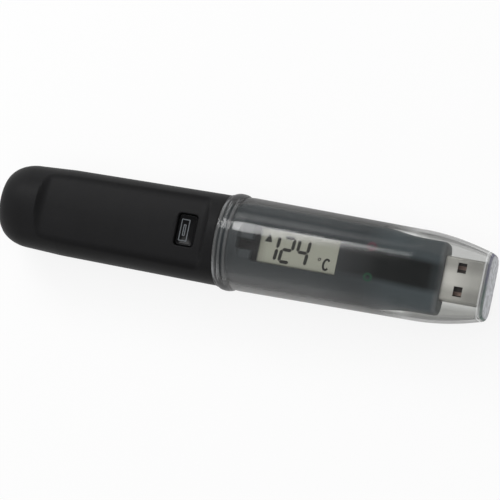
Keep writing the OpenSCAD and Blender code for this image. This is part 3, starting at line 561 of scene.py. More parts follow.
rings += [ring_at(-REAR_LEN, END_FLAT_R * share) for share in END_SHARES]
rings.append([(-REAR_LEN, 0, 0)])

# Painted shade on the flanks of the rear housing.
FLANK_Y = (7.5, 9.5)
FLANK_SHARE = 0.6
PAINTED_FLANK_SHADE = (0.004, 0.004, 0.0043)


def painted_flank_shade(f, shade):
    """Painted shade: the flanks are darkened, standing in for the shade that falls on them."""
    across = abs(f.axes()[1])
    return f.mix(across.step(*FLANK_Y) * FLANK_SHARE, shade, PAINTED_FLANK_SHADE)


dark_housing = grained("dark_housing", (0.01465, 0.01465, 0.0153), 0.5, grain=0.14, speck=0.195, spec=0.08,
    over=painted_flank_shade)
rear = new_piece("rear_shell", *skin(rings), dark_housing)
print("rings", len(rings))

# %% [markdown]
# The button's pocket goes through the land. Its cutter flares like a trumpet near the surface and
# follows the crown of the land, so that the cut leaves a soft lip. The lead socket's opening goes
# straight through the rounded end.

# %% Cut the pocket and the socket opening
POCKET_L = 5.6
POCKET_W = 8.9
POCKET_CORNER = 1.0
POCKET_RIM = 0.35
RIM_DEGREES = (0, 20, 40, 58, 72)
FLARE = 1.2
FLARE_RISE = 0.45
CUT_OVER = 2
BUTTON_X = -9.1
CORNER_POINTS = 8
SOCKET_W = 16.24
SOCKET_H = 8.14
SOCKET_CORNER = 1.2
OVERLAP = 0.01


def rounded_loop(l, w, r):
    """A rounded rectangle as points, the same count whatever its size."""
    r = min(r, l / 2, w / 2)
    loop = []
    for q in range(4):
        cx = (l / 2 - r) * (1 if q in (0, 3) else -1)
        cy = (w / 2 - r) * (1 if q < 2 else -1)
        for i in range(CORNER_POINTS + 1):
            a = math.radians(90 * (q + i / CORNER_POINTS))
            loop.append((cx + r * math.cos(a), cy + r * math.sin(a)))
    return loop


def land_height(y):
    """Height of the land's crown above the axis at y."""
    return LAND_Z - LAND_R + math.sqrt(LAND_R ** 2 - y * y)


def pocket_cutter():
    """The pocket's core, with the trumpet that rounds its rim."""
    levels = [(0, -LAND_Z)]
    for degrees in RIM_DEGREES:
        a = math.radians(degrees)
        levels.append((POCKET_RIM * (1 - math.cos(a)), POCKET_RIM * (math.sin(a) - 1)))
    levels.append((POCKET_RIM + FLARE, FLARE_RISE))
    cutter = [[(BUTTON_X, 0, CUT_OVER)]]
    for grow, rise in levels:
        loop = rounded_loop(POCKET_L + 2 * grow, POCKET_W + 2 * grow, POCKET_CORNER + grow)
        cutter.append([(BUTTON_X + x, y, max(land_height(y) + rise, CUT_OVER)) for x, y in loop])
    cutter.append([(BUTTON_X, 0, LAND_Z + CUT_OVER)])
    return new_piece("pocket_cutter", *skin(cutter), dark_housing)


def straight_cutter(name, x_from, x_to, middle, loop):
    """A straight bar along the stick with that loop as its section."""
    bar = [[(x, middle + y, z) for y, z in loop] for x in (x_from, x_to)]
    return new_piece(name, *skin([[(x_from, middle, 0)]] + bar + [[(x_to, middle, 0)]]), dark_housing)


socket_loop = rounded_loop(SOCKET_W, SOCKET_H, SOCKET_CORNER)
cut_away(rear, pocket_cutter())
cut_away(rear, straight_cutter("socket_cutter", -REAR_LEN - CUT_OVER, -end_x + OVERLAP, 0, socket_loop))
rear_volume = face_out(rear.data)
smooth(rear.data, 32)
dress(rear, "logger", ["rear_housing"])
print("rear housing, cubic millimetres", round(rear_volume))

# %% [markdown]
# The button is a glossy black key below the land. One stack of rounded rectangles makes it: the stem,
# the lip that keeps it in, the key with a rolled edge, and the shallow dish that holds the mark.

# %% The button
KEY_GAP = 0.15
KEY_LIP = 0.9
KEY_LIP_T = 1.0
KEY_ROLL = 0.28
KEY_STEPS = 6
STEM_R = 1.6
STEM_TIP = 0.2
DISH = 0.25
DISH_RIM = 0.45
DISH_SLOPE = 0.3
DISH_CORNER = 0.725

key_top = key_high[2]
key_l = POCKET_L - 2 * KEY_GAP
key_w = POCKET_W - 2 * KEY_GAP
lip_z = CEILING_Z - KEY_LIP_T
stem = (2 * STEM_R, 2 * STEM_R, STEM_R)
tip = (2 * (STEM_R - STEM_TIP), 2 * (STEM_R - STEM_TIP), STEM_R)
lip = (POCKET_L + 2 * KEY_LIP, POCKET_W + 2 * KEY_LIP, POCKET_CORNER)
stack = [(key_low[2], *tip), (key_low[2] + STEM_TIP, *stem), (lip_z, *stem), (lip_z, *lip),
    (CEILING_Z, *lip), (CEILING_Z, key_l, key_w, POCKET_CORNER)]
for a in np.linspace(0, math.pi / 2, KEY_STEPS):
    shrink = 2 * KEY_ROLL * (1 - math.cos(a))
    z = key_top - KEY_ROLL + KEY_ROLL * math.sin(a)
    stack.append((z, key_l - shrink, key_w - shrink, POCKET_CORNER))
for share in np.linspace(0, 1, KEY_STEPS):
    inward = 2 * (DISH_RIM + DISH_SLOPE * share)
    depth = DISH * (1 - math.cos(math.pi * share)) / 2
    stack.append((key_top - depth, key_l - inward, key_w - inward, DISH_CORNER))

key_rings = [[(BUTTON_X, 0, stack[0][0])]]
key_rings += [[(BUTTON_X + x, y, z) for x, y in rounded_loop(l, w, r)] for z, l, w, r in stack]
key_rings.append([(BUTTON_X, 0, stack[-1][0])])
button_black = grained("button_black", (0.0025, 0.0025, 0.003), 0.3, 0.5, 0.003, speck=0.2, spec=0.25)
key = new_piece("button_cap", *skin(key_rings), button_black, 35)
dress(key, "button", ["button_key"])

# %% [markdown]
# The key's mark is a thin film of pale ink, off the key's middle: a frame with a smaller frame inside
# it. Each is a closed strip that runs round a rounded rectangle, not a painted picture.

# %% The mark on the button
MARK_SHIFT = -0.72
MARK_LINE = 0.27
MARK_FRAMES = ((2.4, 6.0), (0.78, 3.15))
MARK_CORNER = 0.22
MARK_CORNER_LEAST = 0.04
INK_T = 0.06


def film_frame(l, w):
    """Four loops of points: up the frame's outer edge, then down its inner edge."""
    bottom = key_top - DISH
    loops = []
    for inward, z in ((0, bottom), (0, bottom + INK_T), (MARK_LINE, bottom + INK_T), (MARK_LINE, bottom)):
        corner = max(MARK_CORNER - inward, MARK_CORNER_LEAST)
        loop = rounded_loop(l - 2 * inward, w - 2 * inward, corner)
        loops.append([(BUTTON_X + MARK_SHIFT + x, y, z) for x, y in loop])
    return loops


mark_points = []
mark_faces = []
for l, w in MARK_FRAMES:
    loops = film_frame(l, w)
    n = len(loops[0])
    first = len(mark_points)
    for i, loop in enumerate(loops):
        a = first + i * n
        b = first + (i + 1) % len(loops) * n
        mark_points += loop
        mark_faces += [(a + j, b + j, b + (j + 1) % n, a + (j + 1) % n) for j in range(n)]
pale_ink = grained("button_print", (0.12, 0.13, 0.14), 0.6, grain=0.1, depth=0.004, speck=0.12)
mark = new_piece("button_ink", mark_points, mark_faces, pale_ink)
dress(mark, "button", ["button_mark"])

# %% [markdown]
# The front housing is the hardest form. It is round at its collar, then a flat display window sinks
# into the top, and past the display the body draws in over two shoulders to the flat nose that grips
# the plug. Each section is a rounded square whose width, height and squareness glide with a smoothstep,
# and whose top is cut by the window.

# %% Shape rules of the front housing
FRONT_R = 11.5
FRONT_R_END = 11.25
SHOULDER_X = 40
NOSE_W = 19.6
NOSE_H = 8
NOSE_LEN = 7.2
NOSE_ROUND = 1.3
NOSE_SQUARE = 4.6
WINDOW_Z = 10.4
WINDOW_X = 5.6
WINDOW_RUN = 1.6
ROUND_SHARE = 0.9995
SIDE_POINTS = 72
FLAT_POINTS = 16


def glide(u):
    """A smoothstep from nought to one."""
    u = min(max(u, 0), 1)
    return u * u * (3 - 2 * u)


def powered(v, p):
    """A power that keeps the sign, for rounded squares."""
    return np.sign(v) * np.abs(v) ** (2 / p)


def front_ring(x, half_w, half_h, flat, p):
    """One section of the front housing: a rounded square with a flat top."""
    top = math.asin(min(flat / half_h, 1) ** (p / 2))
    t = np.linspace(-math.pi / 2, top, SIDE_POINTS + 1)
    y = half_w * powered(np.cos(t), p)
    z = half_h * powered(np.sin(t), p)
    side = [(x, a, b) for a, b in zip(y, z)]
    roof = [(x, y[-1] * (1 - 2 * i / FLAT_POINTS), flat) for i in range(1, FLAT_POINTS)]
    return side + roof + [(x, -a, b) for _, a, b in side[:0:-1]]


def front_at(x, inward=0.0):
    """The section at x, drawn inwards by a wall or a rounding."""
    r = FRONT_R + (FRONT_R_END - FRONT_R) * min(x, SHOULDER_X) / SHOULDER_X
    wide = glide((x - SHOULDER_X) / (FRONT_LEN - NOSE_LEN - SHOULDER_X))
    high = glide((x - SHOULDER_X) / (FRONT_LEN - SHOULDER_X))
    half_w = r + (NOSE_W / 2 - r) * wide
    half_h = r + (NOSE_H / 2 - r) * high
    if x < SHOULDER_X:
        flat = r * ROUND_SHARE + (WINDOW_Z - r * ROUND_SHARE) * glide((x - WINDOW_X) / WINDOW_RUN)
    else:
        flat = WINDOW_Z + (NOSE_H / 2 * ROUND_SHARE - WINDOW_Z) * high
    flat = min(flat, half_h * ROUND_SHARE)
    return front_ring(x, half_w - inward, half_h - inward, flat - inward, 2 + (NOSE_SQUARE - 2) * high)


def round_ring(x, r):
    """A round section with the same count of points."""
    return front_ring(x, r, r, r * ROUND_SHARE, 2)


print("section points", len(front_at(20)))

# %% [markdown]
# The skin starts inside the nose, runs back along the inner wall, round the collar and past the grooves
# of the two seals, and forwards along the outside to the nose's rounded front.

# %% The front housing's skin
FRONT_WALL = 1.1
WEB_END = 2.1
COLLAR_LEN = 3
COLLAR_R = 10.35
COLLAR_IN_R = 9.2
COLLAR_CHAMFER = 0.2
SEAL_X = 3
SEAL_HALF = 0.5
SEAL_FLOOR_R = 11.02
JOINT_X = -1.5
JOINT_HALF = 0.45
JOINT_FLOOR_R = 9.85
FOOT_X = 0.02
FOOT_CHAMFER = 0.15

web_inner = np.linspace(SHOULDER_X - 2, WEB_END + 0.2, 14)
nose_inner = np.linspace(FRONT_LEN - FRONT_WALL, SHOULDER_X, 20)
wall_rings = [[(FRONT_LEN - FRONT_WALL, 0, 0)]]
wall_rings += [front_at(x, FRONT_WALL) for x in (*nose_inner, *web_inner)]
collar = [(WEB_END, FRONT_R - FRONT_WALL), (WEB_END, COLLAR_IN_R), (-COLLAR_LEN, COLLAR_IN_R),
    (-COLLAR_LEN, COLLAR_R - COLLAR_CHAMFER), (-COLLAR_LEN + COLLAR_CHAMFER, COLLAR_R),
    (JOINT_X - JOINT_HALF, COLLAR_R), (JOINT_X - JOINT_HALF, JOINT_FLOOR_R),
    (JOINT_X + JOINT_HALF, JOINT_FLOOR_R), (JOINT_X + JOINT_HALF, COLLAR_R),
    (FOOT_X, COLLAR_R), (FOOT_X, FRONT_R - FOOT_CHAMFER), (FOOT_X + FOOT_CHAMFER, FRONT_R),
    (SEAL_X - SEAL_HALF, FRONT_R), (SEAL_X - SEAL_HALF, SEAL_FLOOR_R),
    (SEAL_X + SEAL_HALF, SEAL_FLOOR_R), (SEAL_X + SEAL_HALF, FRONT_R - 0.02)]
wall_rings += [round_ring(x, r) for x, r in collar]
window_stations = np.linspace(WINDOW_X - 0.6, WINDOW_X + WINDOW_RUN + 0.2, 16)
straight_stations = np.linspace(WINDOW_X + WINDOW_RUN + 1.2, SHOULDER_X - 1, 22)
nose_stations = np.linspace(SHOULDER_X, FRONT_LEN - NOSE_ROUND, 48)
wall_rings += [front_at(x) for x in (*window_stations, *straight_stations, *nose_stations)]
for a in np.linspace(0, math.pi / 2, 6)[1:]:
    x = FRONT_LEN - NOSE_ROUND + NOSE_ROUND * math.sin(a)
    wall_rings.append(front_at(x, NOSE_ROUND * (1 - math.cos(a))))
wall_rings.append([(FRONT_LEN, 0, 0)])
print("rings", len(wall_rings))

# %% [markdown]
# The smoked plastic is frosted and hides what is inside. Only over the display and over its frame's tab
# is it polished clear, and past the display a dark strip runs on to the nose. Masks along and across
# the stick say where.

# %% Where the smoked plastic is clear
TOP_Z = (3.0, 4.5)
VIEW_Y = (glass_low[1] + glass_high[1]) / 2
VIEW_HALF = (4.42, 5.02)
STRIP_HALF = (3.0, 4.8)
TAB_Y = VIEW_Y - 0.65
TAB_HALF = (1.1, 1.7)
tab_x = corners("display_frame")[0][0]
TAB_FROM = (tab_x + 0.5, tab_x + 1.7)
VIEW_FROM = (tab_x + 4.5, tab_x + 5.6)
VIEW_TO = (glass_high[0] - 0.05, glass_high[0] + 0.15)
STRIP_FROM = (glass_high[0] - 0.1, glass_high[0] + 0.3)


def window_masks(f):
    """Where the top is, where the plastic is clear, and where the dark strip runs."""
    x, y, z = f.axes()
    on_top = z.step(*TOP_Z)
    view = y.near(VIEW_Y, *VIEW_HALF) * x.step(*VIEW_FROM)
    tab = y.near(TAB_Y, *TAB_HALF) * x.step(*TAB_FROM)
    polished = view.most(tab) * (1 - x.step(*VIEW_TO)) * on_top
    strip = y.near(VIEW_Y, *STRIP_HALF) * x.step(*STRIP_FROM) * on_top
    return on_top, polished, strip


print("clear from", round(VIEW_FROM[0], 2), "to", round(VIEW_TO[1], 2))

# %% [markdown]
# The frost isn't one grey. It is paler on top, a painted light, and paler on the nose, palest at the
# nose's front edge. It is dimmer low on the near side, a painted shade. Past the display the dark strip
# stands for the dark board and the shade inside, with painted shade darkening it towards the nose. Thin
# rings over the two lamps let a hint of them through.

# %% Shades of the smoked plastic
FROST = ((0.022, 0.028, 0.033), (0.028, 0.035, 0.04))
# Painted light: the frost is lightened on top, round the display.
PALE_Y = ((-8.6, -5.2), (2.0, 4.5))
PALE_FROM = (2.5, 4.2)
PAINTED_LIGHT_SHADE = (0.054, 0.061, 0.066)
# Painted shade: the frost is darkened low on the near side.
LOW_Y = (-10.6, -8.6)
PAINTED_LOW_SHADE = (0.012, 0.015, 0.0175)
NOSE_X = (40, 48)
NOSE_SHADE = (0.066, 0.08, 0.088)
FRONT_X = (FRONT_LEN - 1.6, FRONT_LEN - 0.3)
FRONT_SHADE = (0.15, 0.158, 0.162)
# The strip's two shades: the dark board and the shade inside seen through the top, darkening as painted shade
# towards the nose.
STRIP_X = (33.0, 45.0)
INSIDE_AND_SHADOW_SHADES = ((0.036, 0.038, 0.041), (0.007, 0.0085, 0.009))
CLEAR_SHADE = (0.012, 0.013, 0.015)
RING_R = 0.9
RING_EDGE = (0.13, 0.39)
RING_SHARE = 0.7
LAMPS = (("alarm_lamp", (0, 0), (0.15, 0.03, 0.055)),
    ("status_lamp", (0.45, -0.55), (0.02, 0.09, 0.045)))


def lamp_ring(x, y, node, shift):
    """A thin ring round the middle of a lamp."""
    low, high = corners(node)
    off_x = x - (low[0] + high[0]) / 2 - shift[0]
    off_y = y - (low[1] + high[1]) / 2 - shift[1]
    return ((off_x ** 2.0 + off_y ** 2.0) ** 0.5).near(RING_R, *RING_EDGE)


def smoked_shade(f, on_top, polished, strip):
    """The smoked plastic's colour: each zone is laid over the ones before it."""
    x, y, _ = f.axes()
    # The pale zone is painted light; the low zone and the strip's darkening are painted shade.
    zones = [(y.between(*PALE_Y) * x.step(*PALE_FROM), PAINTED_LIGHT_SHADE), (1 - y.step(*LOW_Y), PAINTED_LOW_SHADE),
        (x.step(*NOSE_X), NOSE_SHADE), (x.step(*FRONT_X), FRONT_SHADE),
        (strip, f.mix(x.step(*STRIP_X), *INSIDE_AND_SHADOW_SHADES))]
    zones += [(lamp_ring(x, y, node, shift) * on_top * RING_SHARE, tint) for node, shift, tint in LAMPS]
    return f.laid(f.mix(f.noise(3.0, SOFT), *FROST), zones + [(polished, CLEAR_SHADE)])


print("rings over", [node for node, _, _ in LAMPS])

# %% [markdown]
# One material does it all. Alpha opens the clear part, under a gloss that is faint seen straight on and
# strong at a graze. Near its seal the cap rubs the surface smooth, so a coat shines there.

# %% The smoked finish
ALPHA_FROST = 0.965
ALPHA_STRIP = 0.995
ALPHA_CLEAR = 0.08
RUBBED_X = ((3.6, 5.0), (6.0, 7.0))
RUBBED_Y = ((2.0, 3.0), (6.0, 7.5))
RUBBED_COAT = 0.55
GLINT_LEAST = 0.02
GLINT_POWER = 6.0
GLINT_SHARE = 0.8


def smoked():
    f = Finish("smoked_plastic")
    x, y, _ = f.axes()
    on_top, polished, strip = window_masks(f)
    alpha = ALPHA_FROST + (ALPHA_STRIP - ALPHA_FROST) * strip - (ALPHA_FROST - ALPHA_CLEAR) * polished
    coat = RUBBED_COAT * x.between(*RUBBED_X) * y.between(*RUBBED_Y) * (1 - polished)
    body = f.plastic({"Base Color": smoked_shade(f, on_top, polished, strip), "Alpha": alpha,
        "Roughness": 0.45 - 0.2 * polished, "Specular IOR Level": 0.1, "Coat Weight": coat,
        "Coat Roughness": 0.2, "Coat IOR": 1.9, "Normal": f.bump(f.noise(0.12), 0.004)})
    glint = GLINT_LEAST + (1 - GLINT_LEAST) * f.facing() ** GLINT_POWER
    return f.done(f.blend(glint * polished * GLINT_SHARE, body, f.gloss(0.12)))


PLUG_GAP = 0.1
PLUG_CORNER = 0.8

plug_w = plug_high[1] - plug_low[1] + 2 * PLUG_GAP
plug_h = plug_high[2] - plug_low[2] + 2 * PLUG_GAP
front = new_piece("front_shell", *skin(wall_rings), smoked())
cut_away(front, straight_cutter("slot_cutter", FRONT_LEN - 4 * FRONT_WALL, FRONT_LEN + CUT_OVER, plug_y,
    rounded_loop(plug_w, plug_h, PLUG_CORNER)))
front_volume = face_out(front.data)
smooth(front.data, 24)
dress(front, "logger", ["front_housing"])
print("front housing, cubic millimetres", round(front_volume))

# %% [markdown]
# The cap follows a rule: a turned tube with a lip and a bead at its mouth, whose sections glide from
# round to a flattened rounded square at the tip. Geometry Nodes suit it. The profile is a line of
# points, with how far each lies inside the main surface and how far it has closed towards the axis.

# %% The cap's profile
CAP_R = 12.68
CAP_R_END = 12.2
CAP_FLAT_LEN = 20.9
CAP_WALL = 0.82
TIP_WALL = 1.3
TIP_ROUND = 1.0
LIP_R = 12.55
LIP_LEN = 0.75
BEAD_X = 3.0
BEAD_LEN = 5.2
BEAD_IN_R = 12.08
BUMP_X = 2.65
BUMP_HALF = 1.85
BUMP_FOOT = 0.12
BUMP_STEPS = 25
MOUTH_IN_R = 11.82
MOUTH_EDGE = 0.12

flat_start = CAP_LEN - CAP_FLAT_LEN
bead_front = BEAD_X + BEAD_LEN / 2


def mouth_profile():
    """Place and radius from inside the bead, round the mouth's lip, to the end of the bump."""
    line = [(bead_front, CAP_R - CAP_WALL), (BEAD_X + BEAD_LEN / 4, BEAD_IN_R),
        (BEAD_X - BEAD_LEN / 4, BEAD_IN_R), (BEAD_X - BEAD_LEN / 2, MOUTH_IN_R),
        (MOUTH_EDGE, MOUTH_IN_R), (0, MOUTH_IN_R + MOUTH_EDGE), (0, LIP_R - 0.22),
        (0.06, LIP_R - 0.07), (0.2, LIP_R), (LIP_LEN - 0.15, LIP_R), (LIP_LEN, LIP_R - 0.05)]
    foot = CAP_R - BUMP_FOOT
    for a in np.linspace(0, math.pi, BUMP_STEPS):
        line.append((BUMP_X - BUMP_HALF * math.cos(a), foot + (BEAD_R - foot) * math.sin(a)))
    return line


def cap_profile():
    """Place, inset and closing share, from the inner tip out over the mouth to the outer tip."""
    inner_end = CAP_LEN - TIP_WALL
    line = [(inner_end, CAP_WALL, s) for s in (0, 0.3, 0.6, 0.85, 0.96)]
    line += [(x, CAP_WALL, 1) for x in np.linspace(inner_end, flat_start, 30)]
    line += [(x, CAP_R_END - r, 1) for x, r in mouth_profile()]
    taper = (CAP_R_END - CAP_R) / (flat_start - bead_front)
    line += [(x, taper * (flat_start - x), 1) for x in np.linspace(bead_front + 0.8, flat_start, 12)]
    line += [(x, 0, 1) for x in np.linspace(flat_start, CAP_LEN - TIP_ROUND, 36)[1:]]
    for a in np.linspace(0, math.pi / 2, 7)[1:]:
        line.append((CAP_LEN - TIP_ROUND + TIP_ROUND * math.sin(a), TIP_ROUND * (1 - math.cos(a)), 1))
    return line + [(CAP_LEN, TIP_ROUND, s) for s in (0.9, 0.6, 0.3, 0)]


profile = cap_profile()
print("profile points", len(profile))

# %% [markdown]
# A geometry tree is a recipe with named inputs.

# %% Running a geometry tree
def recipe(name, wanted):
    """A new geometry tree with named inputs: the tree, its sheet and the inputs' wires in order."""
    tree = bpy.data.node_groups.new(name, "GeometryNodeTree")
    for in_out in ("INPUT", "OUTPUT"):
        tree.interface.new_socket(name="Geometry", in_out=in_out, socket_type="NodeSocketGeometry")
    kinds = {float: "NodeSocketFloat", int: "NodeSocketInt", bpy.types.Material: "NodeSocketMaterial",
        bpy.types.Object: "NodeSocketObject"}
    for key, value in wanted.items():
        tree.interface.new_socket(name=key, in_out="INPUT", socket_type=kinds[type(value)])
    sheet = Sheet(tree)
    start = tree.nodes.new("NodeGroupInput")
    return tree, sheet, [Wire(sheet, o) for o in start.outputs if o.name]


def served(sheet, geometry, finish):
    """Ends a recipe: real points, then the finish, then the output."""
    real = sheet.node("GeometryNodeRealizeInstances", None, {0: geometry})
    coated = sheet.node("GeometryNodeSetMaterial", None, {"Geometry": real, "Material": finish})
    sheet.node("NodeGroupOutput", None, {0: coated})


def grown(name, start, tree, values):
    """Runs a tree on a mesh, with its inputs set by identifier, and returns the result as a plain piece."""
    obj = placed(start.name, start)
    modifier = obj.modifiers.new("grow", "NODES")
    modifier.node_group = tree
    for item in tree.interface.items_tree:
        if item.in_out == "INPUT" and item.name in values:
            modifier[item.identifier] = values[item.name]
    mesh = settled(obj)
    obj.modifiers.remove(modifier)
    bpy.data.objects.remove(obj)
    return placed(name, mesh)


print("recipes ready")

# %% [markdown]
# The tree lays a grid over the profile, one row to a point, and bends every row round the axis. The
# column gives the angle. Its cosine and sine, raised to a power that falls along the tip, turn the
# round section into a rounded square.

# %% The tree that bends the profile round
CAP_COLUMNS = 180
TIP_W = 17.6
TIP_H = 9.8
TIP_SQUARE = 4.4
BEND_W = 1.8
BEND_H = 1.5
MERGE_M = 1e-6


def bent_shell_tree(values):
    """The tree: a grid whose rows are the profile's points, bent round X into rounded squares."""
    tree, s, given = recipe("bent_shell", values)
    line, columns, flat, length, r, tip_w, tip_h, bend_w, bend_h, square, finish = given
    rows = s.node("GeometryNodeAttributeDomainSize", None, {"Geometry": line}, out="Point Count")
    grid = s.node("GeometryNodeMeshGrid", None,
        {"Size X": 1.0, "Size Y": 1.0, "Vertices X": rows, "Vertices Y": columns + 1})
    index = s.node("GeometryNodeInputIndex")
    row = (index / (columns + 1)).of("FLOOR")
    angle = (index - row * (columns + 1)) * (2 * math.pi) / columns
    point = s.node("GeometryNodeSampleIndex", {"data_type": "FLOAT_VECTOR", "clamp": True},
        {"Geometry": line, "Value": s.node("GeometryNodeInputPosition"), "Index": row})
    x, inset, closing = s.split(point)
    along = ((x - flat) / (length - flat)).most(0.0)
    half_w = r + (tip_w - r) * along ** bend_w
    half_h = r + (tip_h - r) * along ** bend_h
    power = 2 / (2 + (square - 2) * along)
    cosine = angle.of("COSINE")
    sine = angle.of("SINE")
    y = closing * (half_w - inset) * cosine.of("SIGN") * abs(cosine) ** power
    z = closing * (half_h - inset) * sine.of("SIGN") * abs(sine) ** power
    bent = s.node("ShaderNodeCombineXYZ", None, {0: x, 1: y, 2: z})
    moved = s.node("GeometryNodeSetPosition", None, {"Geometry": grid, "Position": bent})
    closed = s.node("GeometryNodeMergeByDistance", None, {"Geometry": moved, "Distance": MERGE_M})
    served(s, closed, finish)
    return tree


print("columns", CAP_COLUMNS)

# %% [markdown]
# Clear plastic shows its edges, not its middle, so the cap's haze grows towards a graze: painted shade
# that stands for what refraction does at the edges of a clear tube. Painted highlights make the strong
# lines round the mouth, and the haze is strong in the face of the tip, the sawn-off gate side. A dark and
# a bright line run round the tip, a painted shade and a painted highlight where light is led along the wall.

# %% Haze of the clear plastic
MOUTH_X = (3.9, 4.9)
OUTER_R = (11.9, 12.0)
EDGE_FACING = (0.47, 0.58)
BEAD_FACING = (0.4, 0.54)
# Painted highlights: pale rings of haze round the mouth, as place, width and strength.
RINGS = ((0.4, 0.6, 0.5), (1.8, 0.3, 0.45), (3.4, 0.25, 0.25))
RINGS_TOP_Z = (9.0, 12.0)
TIPWARD_X = (42, 52)
# Painted light: more pale haze on the far upper flank of the tip.
TIP_X = (50.0, 58.0)
TIP_Y = (4.5, 6.0)
END_X = (CAP_LEN - 0.2, CAP_LEN - 0.05)
# Painted shade and a painted highlight round the tip: a dark, tinted rim line and a bright line.
RIM_X = (CAP_LEN - 0.75, CAP_LEN - 0.6)
GLOW_X = ((CAP_LEN - 1.7, CAP_LEN - 1.55), (CAP_LEN - 1.3, CAP_LEN - 1.15))
SPECK = (0.42, 0.62)


def cap_masks(f):
    """The cap's places by name, each nought to one."""
    x, y, z = f.axes()
    facing = f.facing()
    m = {"cloud": f.noise(6.0, SOFT), "speck": f.noise(1.3, SOFT).step(*SPECK)}
    m["mouth"] = 1 - x.step(*MOUTH_X)
    outside = ((y * y + z * z) ** 0.5).step(*OUTER_R).most(x.step(flat_start - 1, flat_start + 1))
    # The haze at a graze is painted shade at the cap's edges.
    m["edge"] = (facing.step(*EDGE_FACING) * outside).most(facing.step(*BEAD_FACING) * m["mouth"])
    m["end"] = x.step(*END_X)
    m["rim"] = x.step(*RIM_X) * (1 - m["end"])
    m["glow"] = x.between(*GLOW_X)
    m["thick"] = x.step(*TIPWARD_X)
    m["tip"] = x.step(*TIP_X) * y.step(*TIP_Y) * (1 - m["edge"]) * (1 - m["end"])
    # Painted highlight rings, weaker on top.
    lines = sum(strength * x.near(place, width * 0.4, width) for place, width, strength in RINGS)
    m["lines"] = lines * (1 - 0.55 * z.step(*RINGS_TOP_Z)) * (0.8 + 0.6 * m["cloud"]) * (1 - m["edge"])
    return m


def cap_haze(m):
    """How milky the cap is. The cloud and the end face are the plastic's own haze; the edge term is painted
    shade, and the lines, rim, bright line and tip terms are painted light and shade.
    """
    edge = m["edge"] * (0.8 + 0.15 * m["mouth"]) * (1 - 0.55 * m["thick"])
    tip = 0.55 * m["rim"] + 0.36 * m["glow"] + m["end"] * (0.5 + 0.25 * m["speck"]) + 0.08 * m["tip"]
    return 0.01 + 0.02 * m["cloud"] + edge + m["lines"] + tip


print("cap end from", round(END_X[0], 2))

# %% [markdown]
# The haze is dark in the deep edges, a painted shade, pale in the lines, painted highlights, and
# greenish and violet in the rim, painted colours of light that has come a long way through plastic.
# Under it the wall is see-through, and greyer towards the tip, most of all underneath on the near side:
# a painted shadow, for the shade below the cap seen through it.

# %% Shades of the clear plastic
MILK = ((0.16, 0.16, 0.155), (0.21, 0.21, 0.205))
FAR_Y = (5.0, 9.0)
# Painted shade: dark haze on the far edge and on the bead's edges.
PAINTED_FAR_EDGE_SHADE = (0.06, 0.06, 0.06)
PAINTED_BEAD_EDGE_SHADE = (0.03, 0.03, 0.032)
RING_HIGHLIGHT_SHADE = (0.42, 0.43, 0.44)
RING_HIGHLIGHT_GAIN = 1.6
RIM_Y = (-1.0, 1.0)
# Painted colours of light led through the wall: greenish on the near side, violet on the far side.
PAINTED_RIM_SHADES = ((0.035, 0.095, 0.075), (0.085, 0.08, 0.165))
PAINTED_GLOW_SHADE = (0.85, 0.86, 0.86)
END_SHADES = ((0.42, 0.43, 0.455), (0.58, 0.595, 0.63))
THIN_WALL = (0.982, 0.984, 0.98)
# Painted shadow: the wall underneath towards the tip lets less through.
SHADOWED_WALL = (0.5, 0.504, 0.488)
UNDER_Z = (-1.0, 1.0)
NEAR_Y = (-7.0, -4.0)
RIM_FACING = (0.4, 0.65)


def milk_shade(f, m):
    """The haze's colour, each zone laid over the ones before it: painted shade on the edges, painted
    highlights in the lines and the bright line, painted colours of light in the rim.
    """
    y = f.axes()[1]
    zones = ((y.step(*FAR_Y) * m["edge"], PAINTED_FAR_EDGE_SHADE), (m["mouth"] * m["edge"], PAINTED_BEAD_EDGE_SHADE),
        (m["lines"] * RING_HIGHLIGHT_GAIN, RING_HIGHLIGHT_SHADE), (m["rim"], f.mix(y.step(*RIM_Y), *PAINTED_RIM_SHADES)),
        (m["glow"], PAINTED_GLOW_SHADE), (m["end"], f.mix(m["speck"], *END_SHADES)))
    return f.laid(f.mix(m["cloud"], *MILK), zones)


def see_through(f, m):
    """The wall itself: clear, or greyer underneath towards the tip, a painted shadow."""
    _, y, z = f.axes()
    walls = [f.node("ShaderNodeBsdfTransparent", None, {"Color": c}) for c in (THIN_WALL, SHADOWED_WALL)]
    under = m["thick"] * (1 - z.step(*UNDER_Z)) * (0.2 + 0.56 * (1 - y.step(*NEAR_Y)))
    return f.blend(under * (1 - 0.65 * f.facing().step(*RIM_FACING)), *walls)


print("the thin wall lets through", THIN_WALL[0], "the thick wall", SHADOWED_WALL[0])

# %% [markdown]
# A gloss lies on top and mirrors the window. It is weaker on the bead, whose steep sides mirror
# something else, and weaker again towards the tip.

# %% The clear finish and the cap
SHINE = 0.055
SHINE_GRAZE = 0.1
SHINE_POWER = 6.0
BEAD_X_RANGE = (2.8, 4.0)
TIP_X_RANGE = (28, 52)
FAR_Y_RANGE = (6.0, 9.0)


def clear():
    f = Finish("clear_plastic")
    x, y, _ = f.axes()
    m = cap_masks(f)
    milk = f.plastic({"Base Color": milk_shade(f, m), "Roughness": 0.35, "Specular IOR Level": 0.1})
    through = f.blend(cap_haze(m), see_through(f, m), milk)
    shine = (SHINE + SHINE_GRAZE * f.facing() ** SHINE_POWER) * (0.4 + 0.6 * x.step(*BEAD_X_RANGE))
    shine = shine * (1 - 0.75 * x.step(*TIP_X_RANGE)) * (1 - 0.6 * y.step(*FAR_Y_RANGE))
    return f.done(f.blend(shine, through, f.gloss(0.14)))


